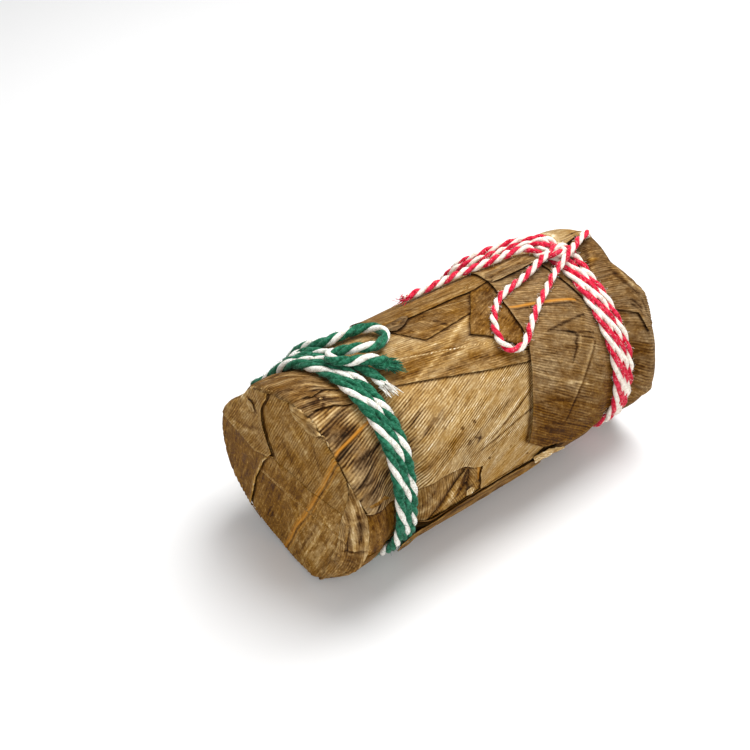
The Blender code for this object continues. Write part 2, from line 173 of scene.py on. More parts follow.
@dataclass
class EndTurn:
    """How the wrap turns from the side into one end, all the way round.

    Each knot is (angle, x where the side turns, x of the end's edge, how much nearer the axis
    that edge is); the centre of the end is drawn to its own x.
    """

    direction: float
    knots: tuple[tuple[float, float, float, float], ...]
    centre_x: float
    softness: float = 0.55
    step: float = 0.2
    reach: float = 46.0
    lead: float = 3.0
    widest: float = 38.0
    radius_step: float = 0.25
    seam: int = 10                # degrees carried past the underside before smoothing
    approach: float = 20.0        # millimetres of straight side before the turn

    def __post_init__(self) -> None:
        """Prepare empty tables."""
        self.x = self.r = self.nx = self.nr = self.depth = np.zeros((0, 0))
        self.bend = self.edge_run = np.zeros(0)
        self.radii = np.arange(0.0, self.widest, self.radius_step)

    def tabulate(self, form: "ParcelForm") -> None:
        """Lay out the turn's profile at every degree, rounded by its softness."""
        angles = np.arange(-180.0, 180.0)
        knots = np.array(self.knots)
        doubled = np.concatenate([knots - [360, 0, 0, 0], knots, knots + [360, 0, 0, 0]])
        around = np.arange(-180.0 - self.seam, 180.0 + self.seam)
        values = [np.interp(around, doubled[:, 0], doubled[:, k]) for k in (1, 2, 3)]
        kernel = hill(np.arange(-4, 5) / 2.0)
        kernel /= kernel.sum()
        self.bend, edge, drop = (np.convolve(v, kernel, "same")[self.seam:-self.seam] for v in values)
        self.edge_run = np.hypot(edge - self.bend, drop)
        distances = np.arange(-self.lead, self.reach, self.step)
        reach = np.arange(-12, 13) * self.step
        blur = hill(reach / self.softness)
        blur /= blur.sum()
        rows: list[list[Points]] = [[], [], [], [], []]
        for index, angle in enumerate(angles):
            bend = self.bend[index]
            radius = float(form.side_radius(np.array([bend]), np.array([angle]))[0])
            xs = np.array([bend - self.direction * self.approach, bend, edge[index], self.centre_x])
            rs = np.array([radius, radius, radius - drop[index], 0.0])
            run = np.concatenate(([0.0], np.cumsum(np.hypot(np.diff(xs), np.diff(rs))))) - self.approach
            padded = np.arange(distances[0] + reach[0], distances[-1] + reach[-1] + self.step, self.step)
            x = np.convolve(np.interp(padded, run, xs), blur, "valid")[:len(distances)]
            r = np.convolve(np.interp(padded, run, rs), blur, "valid")[:len(distances)]
            tx, tr = np.gradient(x), np.gradient(r)
            size = np.maximum(np.hypot(tx, tr), 1e-9)
            for row, value in zip(rows, (x, r, -self.direction * tr / size, self.direction * tx / size)):
                row.append(value)
            falling = slice(int(self.lead / self.step), None)
            rows[4].append(np.interp(self.radii, r[falling][::-1], distances[falling][::-1]))
        self.x, self.r, self.nx, self.nr, self.depth = (np.array(row) for row in rows)

    def read(self, table: Points, angle: Points, column: Points) -> Points:
        """Read a table between its rows and columns."""
        turn = np.asarray(angle) + 180.0
        low = np.floor(turn)
        part = turn - low
        first = low.astype(int) % 360
        second = (first + 1) % 360
        column = np.clip(column, 0.0, table.shape[1] - 1.001)
        left = np.floor(column).astype(int)
        rest = column - left
        before = table[first, left] * (1 - rest) + table[first, left + 1] * rest
        after = table[second, left] * (1 - rest) + table[second, left + 1] * rest
        return before * (1 - part) + after * part

    def bend_x(self, angle: Points) -> Points:
        """Return where the side turns at angles."""
        return self.read(np.column_stack([self.bend, self.bend]), angle, np.zeros(np.shape(angle)))

    def reach_to_edge(self, angle: Points) -> Points:
        """Return how far past the turn the end's edge lies."""
        return self.read(np.column_stack([self.edge_run, self.edge_run]), angle, np.zeros(np.shape(angle)))

    def depth_at(self, angle: Points, radius: Points) -> Points:
        """Return how far past the turn a place on the end lies."""
        return self.read(self.depth, angle, radius / self.radius_step)

    def profile(self, angle: Points, depth: Points) -> tuple[Points, Points, Points, Points]:
        """Return x, radius and the outward direction at a depth past the turn."""
        column = (depth + self.lead) / self.step
        return tuple(self.read(table, angle, column) for table in (self.x, self.r, self.nx, self.nr))


@dataclass
class ParcelForm:
    """The rolled parcel: a slightly tapered cylinder with a flat back and two waists.

    Each swell is (waves round the parcel, how far along it one leans, where it starts).
    """

    mid_radius: float = 35.0
    taper: float = 0.014
    wrap_build: float = 0.9
    base_sink: float = 0.5
    back_angle: float = -55.0
    back_spread: float = 26.0
    back_flatness: float = 1.4
    back_flatness_taper: float = 0.019
    shoulder_flatness: float = 3.4
    shoulder: tuple[float, float, float, float] = (-63.0, 12.0, -44.0, 24.0)
    waist_depth: float = 2.7
    waist_under: float = 1.9
    under_spread: float = 42.0
    waist_reach: float = 8.2
    green_x: float = -44.2
    red_x: float = 50.1
    green_lean: float = -5.0
    lean_angle: float = -50.0
    lean_spread: float = 38.0
    swell: float = 0.22
    swells: tuple[tuple[int, float, float], ...] = ((3, 17.0, 0.0), (5, -11.0, 1.0), (8, 23.0, 2.0))
    base_spread: float = 25.0
    near: EndTurn = field(default_factory=lambda: EndTurn(-1.0, (
        (-170, -62, -64, 2.0), (-120, -63, -65.2, 1.6), (-90, -63.4, -65.4, 1.2), (-60, -63.4, -65.2, 1.0),
        (-30, -64.2, -65.8, 1.0), (-15, -65.8, -66.8, 0.9), (-5, -64.8, -65.8, 0.9),
        (5, -63.3, -64.7, 1.0), (20, -62, -63.6, 1.0), (35, -61.8, -63.4, 1.0), (50, -61.3, -63.2, 1.2),
        (58, -61, -63.2, 1.5), (64, -60.4, -64.0, 2.2), (70, -59.6, -64.2, 3.2), (77, -57.6, -64.3, 4.4),
        (89, -58.3, -64.3, 5.8), (103, -59, -64.3, 6.6), (115, -59.5, -64.3, 6.0), (127, -60.3, -64.3, 5.6),
        (138, -61, -64.5, 3.4), (149, -62.5, -65.2, 0.8), (156, -63.5, -65.8, 0.0), (165, -63, -65.2, 1.4)),
        -65.6))
    far: EndTurn = field(default_factory=lambda: EndTurn(1.0, (
        (-170, 63, 65.5, 2.5), (-130, 64.5, 66.8, 2.2), (-90, 63, 65.6, 2.6), (-60, 65, 67, 1.6),
        (-35, 64, 65.8, 1.6), (-10, 66, 67.4, 1.0), (5, 64, 65.4, 1.5), (17, 62, 63.2, 1.6),
        (28, 62.3, 66, 2.2), (38, 61.4, 68, 2.4), (43, 61.2, 68.8, 2.4), (52, 61.4, 68, 2.8),
        (62, 62.3, 66.3, 2.8), (80, 63, 64.8, 1.5), (105, 64.6, 66.4, 1.5), (130, 63.5, 66, 2.5),
        (155, 65, 67, 2.2)),
        63.2))

    def __post_init__(self) -> None:
        """Tabulate both ends."""
        self.near.tabulate(self)
        self.far.tabulate(self)

    def bare_radius(self, x: Points) -> Points:
        """Return the radius under the outer leaves."""
        return self.mid_radius - self.taper * x - self.wrap_build

    def axis_height(self, x: Points) -> Points:
        """Return the height of the axis over the table."""
        return self.bare_radius(x) - self.base_sink

    def lean(self, angle: Points) -> Points:
        """Return how far the green band is drawn along x at an angle."""
        return self.green_lean * hill(wrapped(angle - self.lean_angle) / self.lean_spread)

    def waist(self, x: Points, angle: Points) -> Points:
        """Return the depth of the two waists under the bands."""
        depth = self.waist_depth + self.waist_under * hill(wrapped(angle - 180.0) / self.under_spread)
        green = np.abs((x - self.green_x - self.lean(angle)) / self.waist_reach) ** 4
        red = np.abs((x - self.red_x) / self.waist_reach) ** 4
        return depth * (np.exp(-green) + np.exp(-red))

    def side_radius(self, x: Points, angle: Points) -> Points:
        """Return the radius of the side without its waists."""
        flat = self.back_flatness - self.back_flatness_taper * x
        radius = self.bare_radius(x) - flat * hill(wrapped(angle - self.back_angle) / self.back_spread)
        at_x, x_spread, at_angle, spread = self.shoulder
        around = hill(wrapped(angle - at_angle) / spread)
        radius -= self.shoulder_flatness * hill((x - at_x) / x_spread) * around
        turn = np.radians(angle)
        waves = sum(np.sin(count * turn + x / length + start) for count, length, start in self.swells)
        return radius + self.swell * waves / 1.5 * (1.0 - hill(wrapped(angle - 180.0) / self.base_spread))

    def side(self, x: Points, angle: Points, height: Points, bridge: Points = 0.0) -> Points:
        """Return points a height above the side, turning into the ends past their edges.

        Args:
            x: places along the parcel.
            angle: places round it.
            height: heights above the skin.
            bridge: 1 where a leaf spans the waists instead of following them.

        Returns:
            The points in millimetres, one to a row.
        """
        x, angle, height = np.broadcast_arrays(np.asarray(x, float), angle, height)
        radius = self.side_radius(x, angle) - self.waist(x, angle) * (1.0 - bridge) + height
        place = x.copy()
        for end in (self.near, self.far):
            depth = (x - end.bend_x(angle)) * end.direction
            px, pr, nx, nr = end.profile(angle, depth)
            turning = smooth_step((depth + end.lead) / end.lead)
            beyond = depth > -end.lead
            place = np.where(beyond, place + (px + nx * height - place) * turning, place)
            radius = np.where(beyond, radius + (pr + nr * height - radius) * turning, radius)
        return self.standing(place, angle, radius)

    def cylinder(self, x: Points, angle: Points, height: Points) -> Points:
        """Return points over the side carried straight on past both ends, as for a twine."""
        x, angle, height = np.broadcast_arrays(np.asarray(x, float), angle, height)
        radius = self.side_radius(x, angle) - self.waist(x, angle) + height
        return self.standing(x, angle, radius)

    def end(self, chart: Chart, y: Points, z: Points, height: Points) -> Points:
        """Return points a height above one of the ends at y and z."""
        turn = self.near if chart is Chart.NEAR_END else self.far
        up = z - self.axis_height(turn.centre_x)
        angle = np.degrees(np.arctan2(-y, up))
        depth = turn.depth_at(angle, np.hypot(y, up))
        x, radius, nx, nr = turn.profile(angle, depth)
        return self.standing(x + nx * height, angle, radius + nr * height)

    def within_end(self, chart: Chart, points: Points, overlap: float) -> Points:
        """Draw places on an end in to its edge, or a little past it."""
        turn = self.near if chart is Chart.NEAR_END else self.far
        up = points[:, 1] - self.axis_height(turn.centre_x)
        angle, radius = np.degrees(np.arctan2(-points[:, 0], up)), np.hypot(points[:, 0], up)
        reach = turn.reach_to_edge(angle) - overlap
        limit = turn.profile(angle, np.maximum(reach, -0.5))[1]
        share = np.minimum(1.0, limit / np.maximum(radius, 1e-6))
        return np.column_stack([points[:, 0] * share, up * share + self.axis_height(turn.centre_x)])

    def standing(self, x: Points, angle: Points, radius: Points) -> Points:
        """Turn x, angle and radius into points that never pass below the table."""
        turn = np.radians(angle)
        z = self.axis_height(x) + radius * np.cos(turn)
        return np.column_stack([x, -radius * np.sin(turn), np.maximum(z, 0.0)])

    def place(self, chart: Chart, points: Points, height: Points, bridge: float) -> Points:
        """Return points above a place on a chart given in millimetres."""
        if chart is Chart.SIDE:
            return self.side(points[:, 0], points[:, 1] / ARC, height, bridge)
        return self.end(chart, points[:, 0], points[:, 1], height)


# ---- materials ---------------------------------------------------------------------------------
def add_node(tree: bpy.types.NodeTree, kind: str, inputs: dict | None = None, **settings) -> bpy.types.Node:
    """Add one node with its settings, and set or link its inputs.

    Args:
        tree: the node tree to add to.
        kind: the node's type name.
        inputs: socket name or number, and what it takes: a value, a socket or a node's first output.
        settings: the node's own properties.

    Returns:
        The new node.
    """
    node = tree.nodes.new(kind)
    for name, value in settings.items():
        setattr(node, name, value)
    for name, value in (inputs or {}).items():
        if isinstance(value, bpy.types.Node):
            value = value.outputs[0]
        if isinstance(value, bpy.types.NodeSocket):
            tree.links.new(value, node.inputs[name])
        else:
            node.inputs[name].default_value = value
    return node


def new_material(name: str) -> tuple[bpy.types.Material, bpy.types.NodeTree, bpy.types.Node]:
    """Start a node material and return it with its tree and its shader."""
    material = bpy.data.materials.new(name)
    material.use_nodes = True
    return material, material.node_tree, material.node_tree.nodes["Principled BSDF"]


def fill_ramp(node: bpy.types.Node, stops: tuple[tuple[float, str], ...]) -> None:
    """Give a colour ramp its stops."""
    elements = node.color_ramp.elements
    while len(elements) < len(stops):
        elements.new(0.5)
    for element, (position, colour) in zip(elements, stops):
        element.position = position
        element.color = linear(colour)


@dataclass(frozen=True)
class LeafFinish:
    """A dried bamboo leaf after steaming: ribbed lengthwise, waxy where it is smooth.

    Its colour runs along two ramps, a greyish and a golden one, by the tone held in the mesh,
    darkened and lightened by veins, streaks, blotches and specks that run along the leaf.
    """

    name: str
    vein_pitch: float = 0.75      # a leaf's real veins stand 0.4 mm apart, too fine to show
    vein: float = 0.12
    streak: float = 0.085
    blotch: float = 0.065
    speck: float = 0.075
    # strength of the light flecks, partly pale marks of the leaf and partly painted highlights
    fleck: float = 0.10
    roughness: tuple[float, float] = (0.50, 0.78)
    relief: float = 0.75
    ridge: float = 0.10
    cool: tuple[tuple[float, str], ...] = (
        (0.0, "#1e140a"), (0.22, "#48341f"), (0.45, "#7a6142"), (0.66, "#a78b60"), (0.86, "#d0b88e"),
        (1.0, "#f2e8d4"))
    warm: tuple[tuple[float, str], ...] = (
        (0.0, "#241203"), (0.22, "#4e2e07"), (0.45, "#7d551a"), (0.66, "#a9803e"), (0.86, "#d0ad6e"),
        (1.0, "#eed9ac"))
    rib: str = "#c4822c"

    def build(self) -> bpy.types.Material:
        """Build the material once and return it from then on."""
        known = bpy.data.materials.get(self.name)
        if known:
            return known
        material, tree, shader = new_material(self.name)
        layer = add_node(tree, "ShaderNodeAttribute", attribute_name=TONE_LAYER)
        tone, warm, rib = add_node(tree, "ShaderNodeSeparateColor", {0: layer.outputs["Color"]}).outputs
        grain = add_node(tree, "ShaderNodeUVMap", uv_map=GRAIN_LAYER)
        veins = add_node(tree, "ShaderNodeTexWave", {
            "Vector": grain, "Scale": GRAIN_UNIT * math.tau / self.vein_pitch / WAVE_UNIT, "Distortion": 2.2,
            "Detail": 1.0, "Detail Scale": 0.3}, bands_direction="Y").outputs["Fac"]
        noises = []
        for along, across, detail, rough, distortion in (      # millimetres along and across the veins
                (9.0, 4.0, 1.0, 0.5, 0.0), (12.0, 0.75, 4.0, 0.72, 0.0), (6.0, 3.2, 6.0, 0.66, 0.4),
                (1.5, 0.8, 3.0, 0.7, 0.6)):
            stretched = add_node(tree, "ShaderNodeMapping", {
                "Vector": grain, "Scale": (GRAIN_UNIT / along, GRAIN_UNIT / across, 1.0)})
            noises.append(add_node(tree, "ShaderNodeTexNoise", {
                "Vector": stretched, "Scale": 1.0, "Detail": detail, "Roughness": rough,
                "Distortion": distortion}))
        wander, streaks, blotches, specks = noises
        strength = add_node(tree, "ShaderNodeMapRange", {
            0: wander, 1: 0.35, 2: 0.65, 3: 0.2 * self.vein, 4: 1.8 * self.vein})
        total = add_node(tree, "ShaderNodeMath", {0: veins, 1: strength, 2: tone}, operation="MULTIPLY_ADD")
        total = add_node(tree, "ShaderNodeMath", {0: strength, 1: -0.5, 2: total}, operation="MULTIPLY_ADD")
        for source, low, high, darkest, lightest in (
                (streaks, 0.34, 0.66, -self.streak, self.streak),
                (blotches, 0.36, 0.64, -self.blotch, self.blotch),
                # The light flecks added below are partly pale marks of the leaf and partly painted highlights
                # in place of glints.
                (specks, 0.36, 0.64, -self.speck, self.speck), (specks, 0.60, 0.70, 0.0, self.fleck),
                (streaks, 0.40, 0.33, 0.0, -1.2 * self.fleck)):
            share = add_node(tree, "ShaderNodeMapRange", {
                0: source, 1: low, 2: high, 3: darkest, 4: lightest})
            total = add_node(tree, "ShaderNodeMath", {0: share, 1: total}, operation="ADD")
        ripe = add_node(tree, "ShaderNodeMapRange", {0: blotches, 1: 0.36, 2: 0.64, 3: 0.3, 4: -0.3})
        warmth = add_node(tree, "ShaderNodeMath", {0: ripe, 1: warm}, operation="ADD")
        ramps = [add_node(tree, "ShaderNodeValToRGB", {0: total}) for _ in range(2)]
        fill_ramp(ramps[0], self.cool)
        fill_ramp(ramps[1], self.warm)
        leaf = add_node(tree, "ShaderNodeMix", {0: warmth, "A": ramps[0], "B": ramps[1]}, data_type="RGBA")
        ribbed = add_node(tree, "ShaderNodeMix", {
            0: rib, "A": leaf.outputs["Result"], "B": linear(self.rib)}, data_type="RGBA")
        rough = add_node(tree, "ShaderNodeMapRange", {
            0: blotches, 1: 0.35, 2: 0.65, 3: self.roughness[0], 4: self.roughness[1]})
        height = add_node(tree, "ShaderNodeMath", {
            0: veins, 1: self.ridge, 2: streaks}, operation="MULTIPLY_ADD")
        height = add_node(tree, "ShaderNodeMath", {0: specks, 1: 0.5, 2: height}, operation="MULTIPLY_ADD")
        bump = add_node(tree, "ShaderNodeBump", {
            "Height": height, "Strength": self.relief, "Distance": 0.25 * MM})
        tree.links.new(ribbed.outputs["Result"], shader.inputs["Base Color"])
        tree.links.new(rough.outputs[0], shader.inputs["Roughness"])
        tree.links.new(bump.outputs[0], shader.inputs["Normal"])
        shader.inputs["Specular IOR Level"].default_value = 0.03
        return material


BAMBOO_LEAF = LeafFinish("bamboo_leaf_dried")
SMOOTH_LEAF = LeafFinish("bamboo_leaf_smooth_side", vein=0.035, streak=0.07, blotch=0.10, speck=0.09,
                         fleck=0.13, roughness=(0.44, 0.70), ridge=0.04)
RIBBED_LEAF = LeafFinish("bamboo_leaf_ribbed_side", vein_pitch=0.68, vein=0.26, streak=0.09, blotch=0.05,
                         ridge=0.16)


# ---- leaves -------------------------------------------------------------------------------------
@dataclass(frozen=True)
class Stroke:
    """A narrow mark, crease, ridge or midrib along a line of a leaf.

    The line is given in the leaf's chart; width and rise are millimetres, the rest are shares
    added to the leaf's tone, warmth and midrib colour.
    """

    line: Outline
    width: float = 0.5
    tone: float = -0.3
    rise: float = 0.0
    warm: float = 0.0
    rib: float = 0.0
    taper: float = 0.5


@dataclass(frozen=True)
class Patch:
    """A stretch of a leaf with its own tone; its size is along and across the veins."""

    centre: tuple[float, float]
    size: tuple[float, float]
    tone: float = -0.1
    warm: float = 0.0
    streaky: float = 0.5


@dataclass
class LeafSheet:
    """One thin leaf, cut to an outline on a chart and laid at a height over the parcel."""

    name: str
    outline: Outline
    level: float
    vein_angle: float
    tone: float = 0.5
    warm: float = 0.5
    seed: int = 1
    fan: float = 0.0
    chart: Chart = Chart.SIDE
    finish: LeafFinish = BAMBOO_LEAF
    strokes: tuple[Stroke, ...] = ()
    patches: tuple[Patch, ...] = ()
    nodes: tuple[str, ...] = ()
    slot: str = "leaf_tan"
    cell: tuple[float, float] = (1.1, 0.5)
    thickness: float = 0.24
    lift: float = 0.14
    lift_reach: float = 1.6
    relief: float = 0.03
    crumple: float = 0.0
    crumple_size: float = 4.0
    ragged: float = 0.16
    streaks: float = 0.06
    bridge: float = 0.0
    rim_tone: float = 0.10
    # how dark the painted shadow is that this leaf lays along its edge on the leaves under it
    shade: float = 0.34
    follows_rims: bool = True
    near_reach: float = 1.0
    far_reach: float = 0.8
    rim_overlap: float = 0.9

    def in_mm(self, line: Outline) -> Points:
        """Return chart places in millimetres."""
        return np.array(line, float) * ([1.0, ARC] if self.chart is Chart.SIDE else [1.0, 1.0])

    def veined(self, points: Points) -> Points:
        """Return places as distances along and across the veins."""
        turn = math.radians(self.vein_angle)
        along = points @ [math.cos(turn), math.sin(turn)]
        across = points @ [-math.sin(turn), math.cos(turn)]
        return np.column_stack([along, across])

    def edge(self, form: ParcelForm, spacing: float = 0.55) -> Points:
        """Return the leaf's outline, followed along both rims and slightly ragged."""
        corners = self.in_mm(self.outline)
        closed = np.vstack([corners, corners[:1]])
        lengths = np.linalg.norm(np.diff(closed, axis=0), axis=1)
        run = np.concatenate(([0.0], np.cumsum(lengths)))
        stations = np.arange(0.0, run[-1] - 0.3 * spacing, spacing)
        points = np.column_stack([np.interp(stations, run, closed[:, k]) for k in (0, 1)])
        if self.chart is not Chart.SIDE:
            points = form.within_end(self.chart, points, self.rim_overlap)
        elif self.follows_rims:
            angle = points[:, 1] / ARC
            near = form.near.bend_x(angle) - self.near_reach
            far = form.far.bend_x(angle) + form.far.reach_to_edge(angle) + self.far_reach
            x = points[:, 0]
            points[:, 0] = np.where(x < RIM_MARKS[0], near, np.where(x > RIM_MARKS[1], far, x))
        following, before = np.roll(points, -1, axis=0), np.roll(points, 1, axis=0)
        tangent = following - before
        tangent /= np.maximum(np.linalg.norm(tangent, axis=1), 1e-6)[:, None]
        grain = Grain(self.seed * 13 + 5)
        jag = grain.layered(stations / 2.4, stations * 0.0, 3)
        return points + np.column_stack([tangent[:, 1], -tangent[:, 0]]) * (jag * self.ragged)[:, None]

    def spread(self, edge: Points) -> tuple[Points, list[tuple[int, ...]]]:
        """Fill an outline with a lattice stretched along the veins.

        Args:
            edge: the closed outline in millimetres.

        Returns:
            All points with the outline's first, and the triangles between them.
        """
        squeeze = np.array([self.cell[1] / self.cell[0], 1.0])
        border = self.veined(edge) * squeeze
        low, high = border.min(0), border.max(0)
        step = self.cell[1]
        rows = np.arange(low[1], high[1], step * 0.87)
        columns = np.arange(low[0], high[0], step)
        grid = np.array([[x + (index % 2) * step / 2, y] for index, y in enumerate(rows) for x in columns])
        grid = grid[inside(grid, border)] if len(grid) else np.zeros((0, 2))
        if len(grid):
            ring = np.vstack([border, border[:1]])
            keep = np.ones(len(grid), bool)
            for start in range(0, len(border), 6):
                piece = ring[start:start + 7]
                close = np.all((grid > piece.min(0) - step) & (grid < piece.max(0) + step), axis=1) & keep
                if close.any():
                    keep[np.nonzero(close)[0]] = line_distance(grid[close], piece)[0] > 0.45 * step
            grid = grid[keep]
        points = np.vstack([border, grid])
        made = delaunay_2d_cdt([Vector(p) for p in points], [], [list(range(len(border)))], 1, 1e-6)
        back = np.array([tuple(v) for v in made[0]]) / squeeze
        turn = math.radians(self.vein_angle)
        along = np.array([math.cos(turn), math.sin(turn)])
        across = np.array([-math.sin(turn), math.cos(turn)])
        return back[:, :1] * along + back[:, 1:] * across, [tuple(face) for face in made[2]]

    def dress(self, points: Points, edge: Points, above: list["LeafSheet"]) -> tuple[Points, Points]:
        """Work out each point's height and its tone, warmth and midrib colour.

        Noise is divided by its size in millimetres along and across the veins.

        Args:
            points: places in millimetres.
            edge: the leaf's own outline.
            above: the sheets that lie over this one, each painting shade along its edge.

        Returns:
            The heights and the three colour channels, one row to a point.
        """
        along, across = self.veined(points).T
        across = across * (1.0 + self.fan * along)
        grain = Grain(self.seed)
        height = np.full(len(points), self.level)
        height += self.relief * grain.layered(along / 9.0, across / 5.0, 2)
        tone = self.tone + self.streaks * grain.layered(along / 14.0, across / 1.3, 3)
        warm = self.warm + 0.14 * Grain(self.seed + 7).layered(along / 12.0, across / 3.0, 2)
        rib = np.zeros(len(points))
        if self.crumple:
            u, v = points.T / self.crumple_size
            folds = 1.0 - 2.2 * np.abs(Grain(self.seed + 3).layered(u, v, 2))
            height += self.crumple * folds
            # Painted shading of the crumples: the tone is lighter on the raised folds and darker in the
            # hollows.
            tone += 0.16 * (folds - 0.3)
        own = np.vstack([edge, edge[:1]])
        rim = line_distance(points, own)[0]
        edge_mottle = 0.55 + 0.45 * Grain(self.seed + 11).at(points[:, 0] / 3.0, points[:, 1] / 3.0)
        height += self.lift * hill(rim / self.lift_reach)
        # Each leaf's tone is raised along its own edge, unevenly.
        tone += self.rim_tone * edge_mottle * hill(rim / EDGE_LIGHTENING_REACH)
        for patch in self.patches:
            centre = self.veined(self.in_mm((patch.centre,)))[0]
            streaky = 1.0 + patch.streaky * Grain(self.seed + 17).layered(along / 9.0, across / 0.9, 2)
            off_along, off_across = (along - centre[0]) / patch.size[0], (across - centre[1]) / patch.size[1]
            share = hill(np.hypot(off_along, off_across) * streaky)
            tone += patch.tone * share
            warm += patch.warm * share
        for stroke in self.strokes:
            distance, share = line_distance(points, self.in_mm(stroke.line))
            wide = stroke.width * (1.0 - stroke.taper * np.square(2.0 * share - 1.0))
            if stroke.width > WIDE_STROKE:
                streaky = 1.0 + 0.5 * Grain(self.seed + 19).layered(along / 7.0, across / 0.8, 2)
                distance = distance * streaky
            mark = hill(distance / np.maximum(wide, 0.05))
            broken = 0.85 + 0.3 * grain.at(points[:, 0] * 1.1, points[:, 1] * 1.1)
            tone += stroke.tone * mark * broken
            warm += stroke.warm * mark
            rib += stroke.rib * mark
            height += stroke.rise * mark
        # Painted shadow: the tone darkens near the edge of each leaf that lies above, standing in for the
        # shade it casts.
        for sheet in above:
            cover = line_distance(points, sheet.in_mm(sheet.outline + sheet.outline[:1]))[0]
            tone -= sheet.shade * hill(cover / PAINTED_SHADE_REACH)
        return height, np.clip(np.column_stack([tone, warm, rib]), 0.0, 1.0)

    def build(self, form: ParcelForm, above: list["LeafSheet"]) -> bpy.types.Object:
        """Make the leaf's closed mesh and declare what it stands for."""
        edge = self.edge(form)
        points, faces = self.spread(edge)
        height, colours = self.dress(points, edge, above)
        top = form.place(self.chart, points, height, self.bridge)
        low = form.place(self.chart, points, height - self.thickness, self.bridge)
        count = len(points)
        if self.chart is not Chart.FAR_END:
            faces = [face[::-1] for face in faces]
        sides: dict[tuple[int, int], int] = {}
        for face in faces:
            for a, b in zip(face, face[1:] + face[:1]):
                sides[(a, b)] = sides.get((a, b), 0) + 1
        walls = [(b, a, a + count, b + count) for a, b in sides if (b, a) not in sides]
        under = [tuple(index + count for index in face[::-1]) for face in faces]
        grain = self.veined(points)
        grain[:, 1] *= 1.0 + self.fan * grain[:, 0]
        # Painted shade: the underside copy of the tone is made darker, as shadow under the leaf.
        colours = np.vstack([colours, colours * [0.6, 1.0, 1.0]])
        return make_piece(self.name, np.vstack([top, low]), faces + under + walls,
                          np.vstack([grain, grain]), colours, self.finish.build(), self.nodes)


def make_piece(name: str, points: Points, faces: list[tuple[int, ...]], grain: Points, colours: Points,
               material: bpy.types.Material, nodes: tuple[str, ...]) -> bpy.types.Object:
    """Make a smooth mesh piece with its grain and tone layers.

    Args:
        name: the piece's name.
        points: its vertices in millimetres.
        faces: its faces, outwards.
        grain: millimetres along and across the veins at each vertex.
        colours: tone, warmth and midrib colour at each vertex.
        material: the finish.
        nodes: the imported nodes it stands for.

    Returns:
        The finished object.
    """
    mesh = bpy.data.meshes.new(name)
    mesh.from_pydata((points * MM).tolist(), [], faces)
    mesh.shade_smooth()
    uv = mesh.uv_layers.new(name=GRAIN_LAYER)
    corner = np.empty(len(mesh.loops), np.int32)
    mesh.loops.foreach_get("vertex_index", corner)
    uv.data.foreach_set("uv", (grain[corner] / GRAIN_UNIT).astype(np.float32).ravel())
    layer = mesh.attributes.new(TONE_LAYER, "FLOAT_COLOR", "POINT")
    opaque = np.column_stack([colours, np.ones(len(colours))])
    layer.data.foreach_set("color", opaque.astype(np.float32).ravel())
    mesh.materials.append(material)
    mesh.validate()
    piece = bpy.data.objects.new(name, mesh)
    bpy.context.scene.collection.objects.link(piece)
    declare(piece, nodes)
    return piece


def declare(piece: bpy.types.Object, nodes: tuple[str, ...]) -> None:
    """Tie a piece to the body and hide the imported nodes it stands for."""
    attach(piece, BODY)
    if nodes:
        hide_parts(*nodes)
    LOG.info("%s: %d faces", piece.name, len(piece.data.polygons))


@dataclass
class InnerWrap:
    """The inner leaves, one closed skin seen only where the outer leaves part."""

    name: str = "inner_wrap"
    sink: float = -0.45
    rows: int = 30
    sides: int = 150
    length: int = 130

    def build(self, form: ParcelForm) -> bpy.types.Object:
        """Make the skin from one end's centre to the other."""
        angles = np.arange(self.sides) * 360.0 / self.sides - 180.0
        near, far = form.near.bend_x(angles), form.far.bend_x(angles)
        near_depth = form.near.depth_at(angles, np.zeros(self.sides)) - 0.4
        far_depth = form.far.depth_at(angles, np.zeros(self.sides)) - 0.4
        rows = [near - near_depth * (1.0 - t) for t in np.linspace(0.0, 1.0, self.rows, endpoint=False)]
        rows += [near + (far - near) * t for t in np.linspace(0.0, 1.0, self.length, endpoint=False)]
        rows += [far + far_depth * t for t in np.linspace(0.0, 1.0, self.rows)]
        rings = [form.side(row, angles, self.sink) for row in rows]
        points = np.vstack([rings[0].mean(0)[None], *rings, rings[-1].mean(0)[None]])
        faces: list[tuple[int, ...]] = []
        for index in range(self.sides):
            after = (index + 1) % self.sides
            faces.append((0, 1 + after, 1 + index))
            for row in range(len(rows) - 1):
                a, b = 1 + row * self.sides, 1 + (row + 1) * self.sides
                faces.append((a + index, a + after, b + after, b + index))
            last = 1 + (len(rows) - 1) * self.sides
            faces.append((len(points) - 1, last + index, last + after))
        flat = np.column_stack([np.concatenate([[-80.0], *rows, [80.0]]),
                                np.concatenate([[0.0], np.tile(angles * ARC, len(rows)), [0.0]])])
        colours = np.tile([0.30, 0.6, 0.0], (len(points), 1))
        return make_piece(self.name, points, faces, flat, colours, BAMBOO_LEAF.build(), ("leaf_parcel",))


class LeafGroup:
    """Leaves that lie over one another: each gets painted shade along the edges of the higher ones that cover
    it.
    """

    leaves: tuple[LeafSheet, ...] = ()

    def sheets(self) -> list[LeafSheet]:
        """Return the group's leaves, in the order they are listed."""
        return list(self.leaves)

    def build(self, form: ParcelForm) -> list[bpy.types.Object]:
        """Build every leaf of the group."""
        made = []
        sheets = self.sheets()
        for sheet in sheets:
            low, high = np.min(sheet.outline, 0) - 2.0, np.max(sheet.outline, 0) + 2.0
            above = [other for other in sheets
                     if other.level > sheet.level and np.all(np.max(other.outline, 0) > low)
                     and np.all(np.min(other.outline, 0) < high)]
            made.append(sheet.build(form, above))
        return made


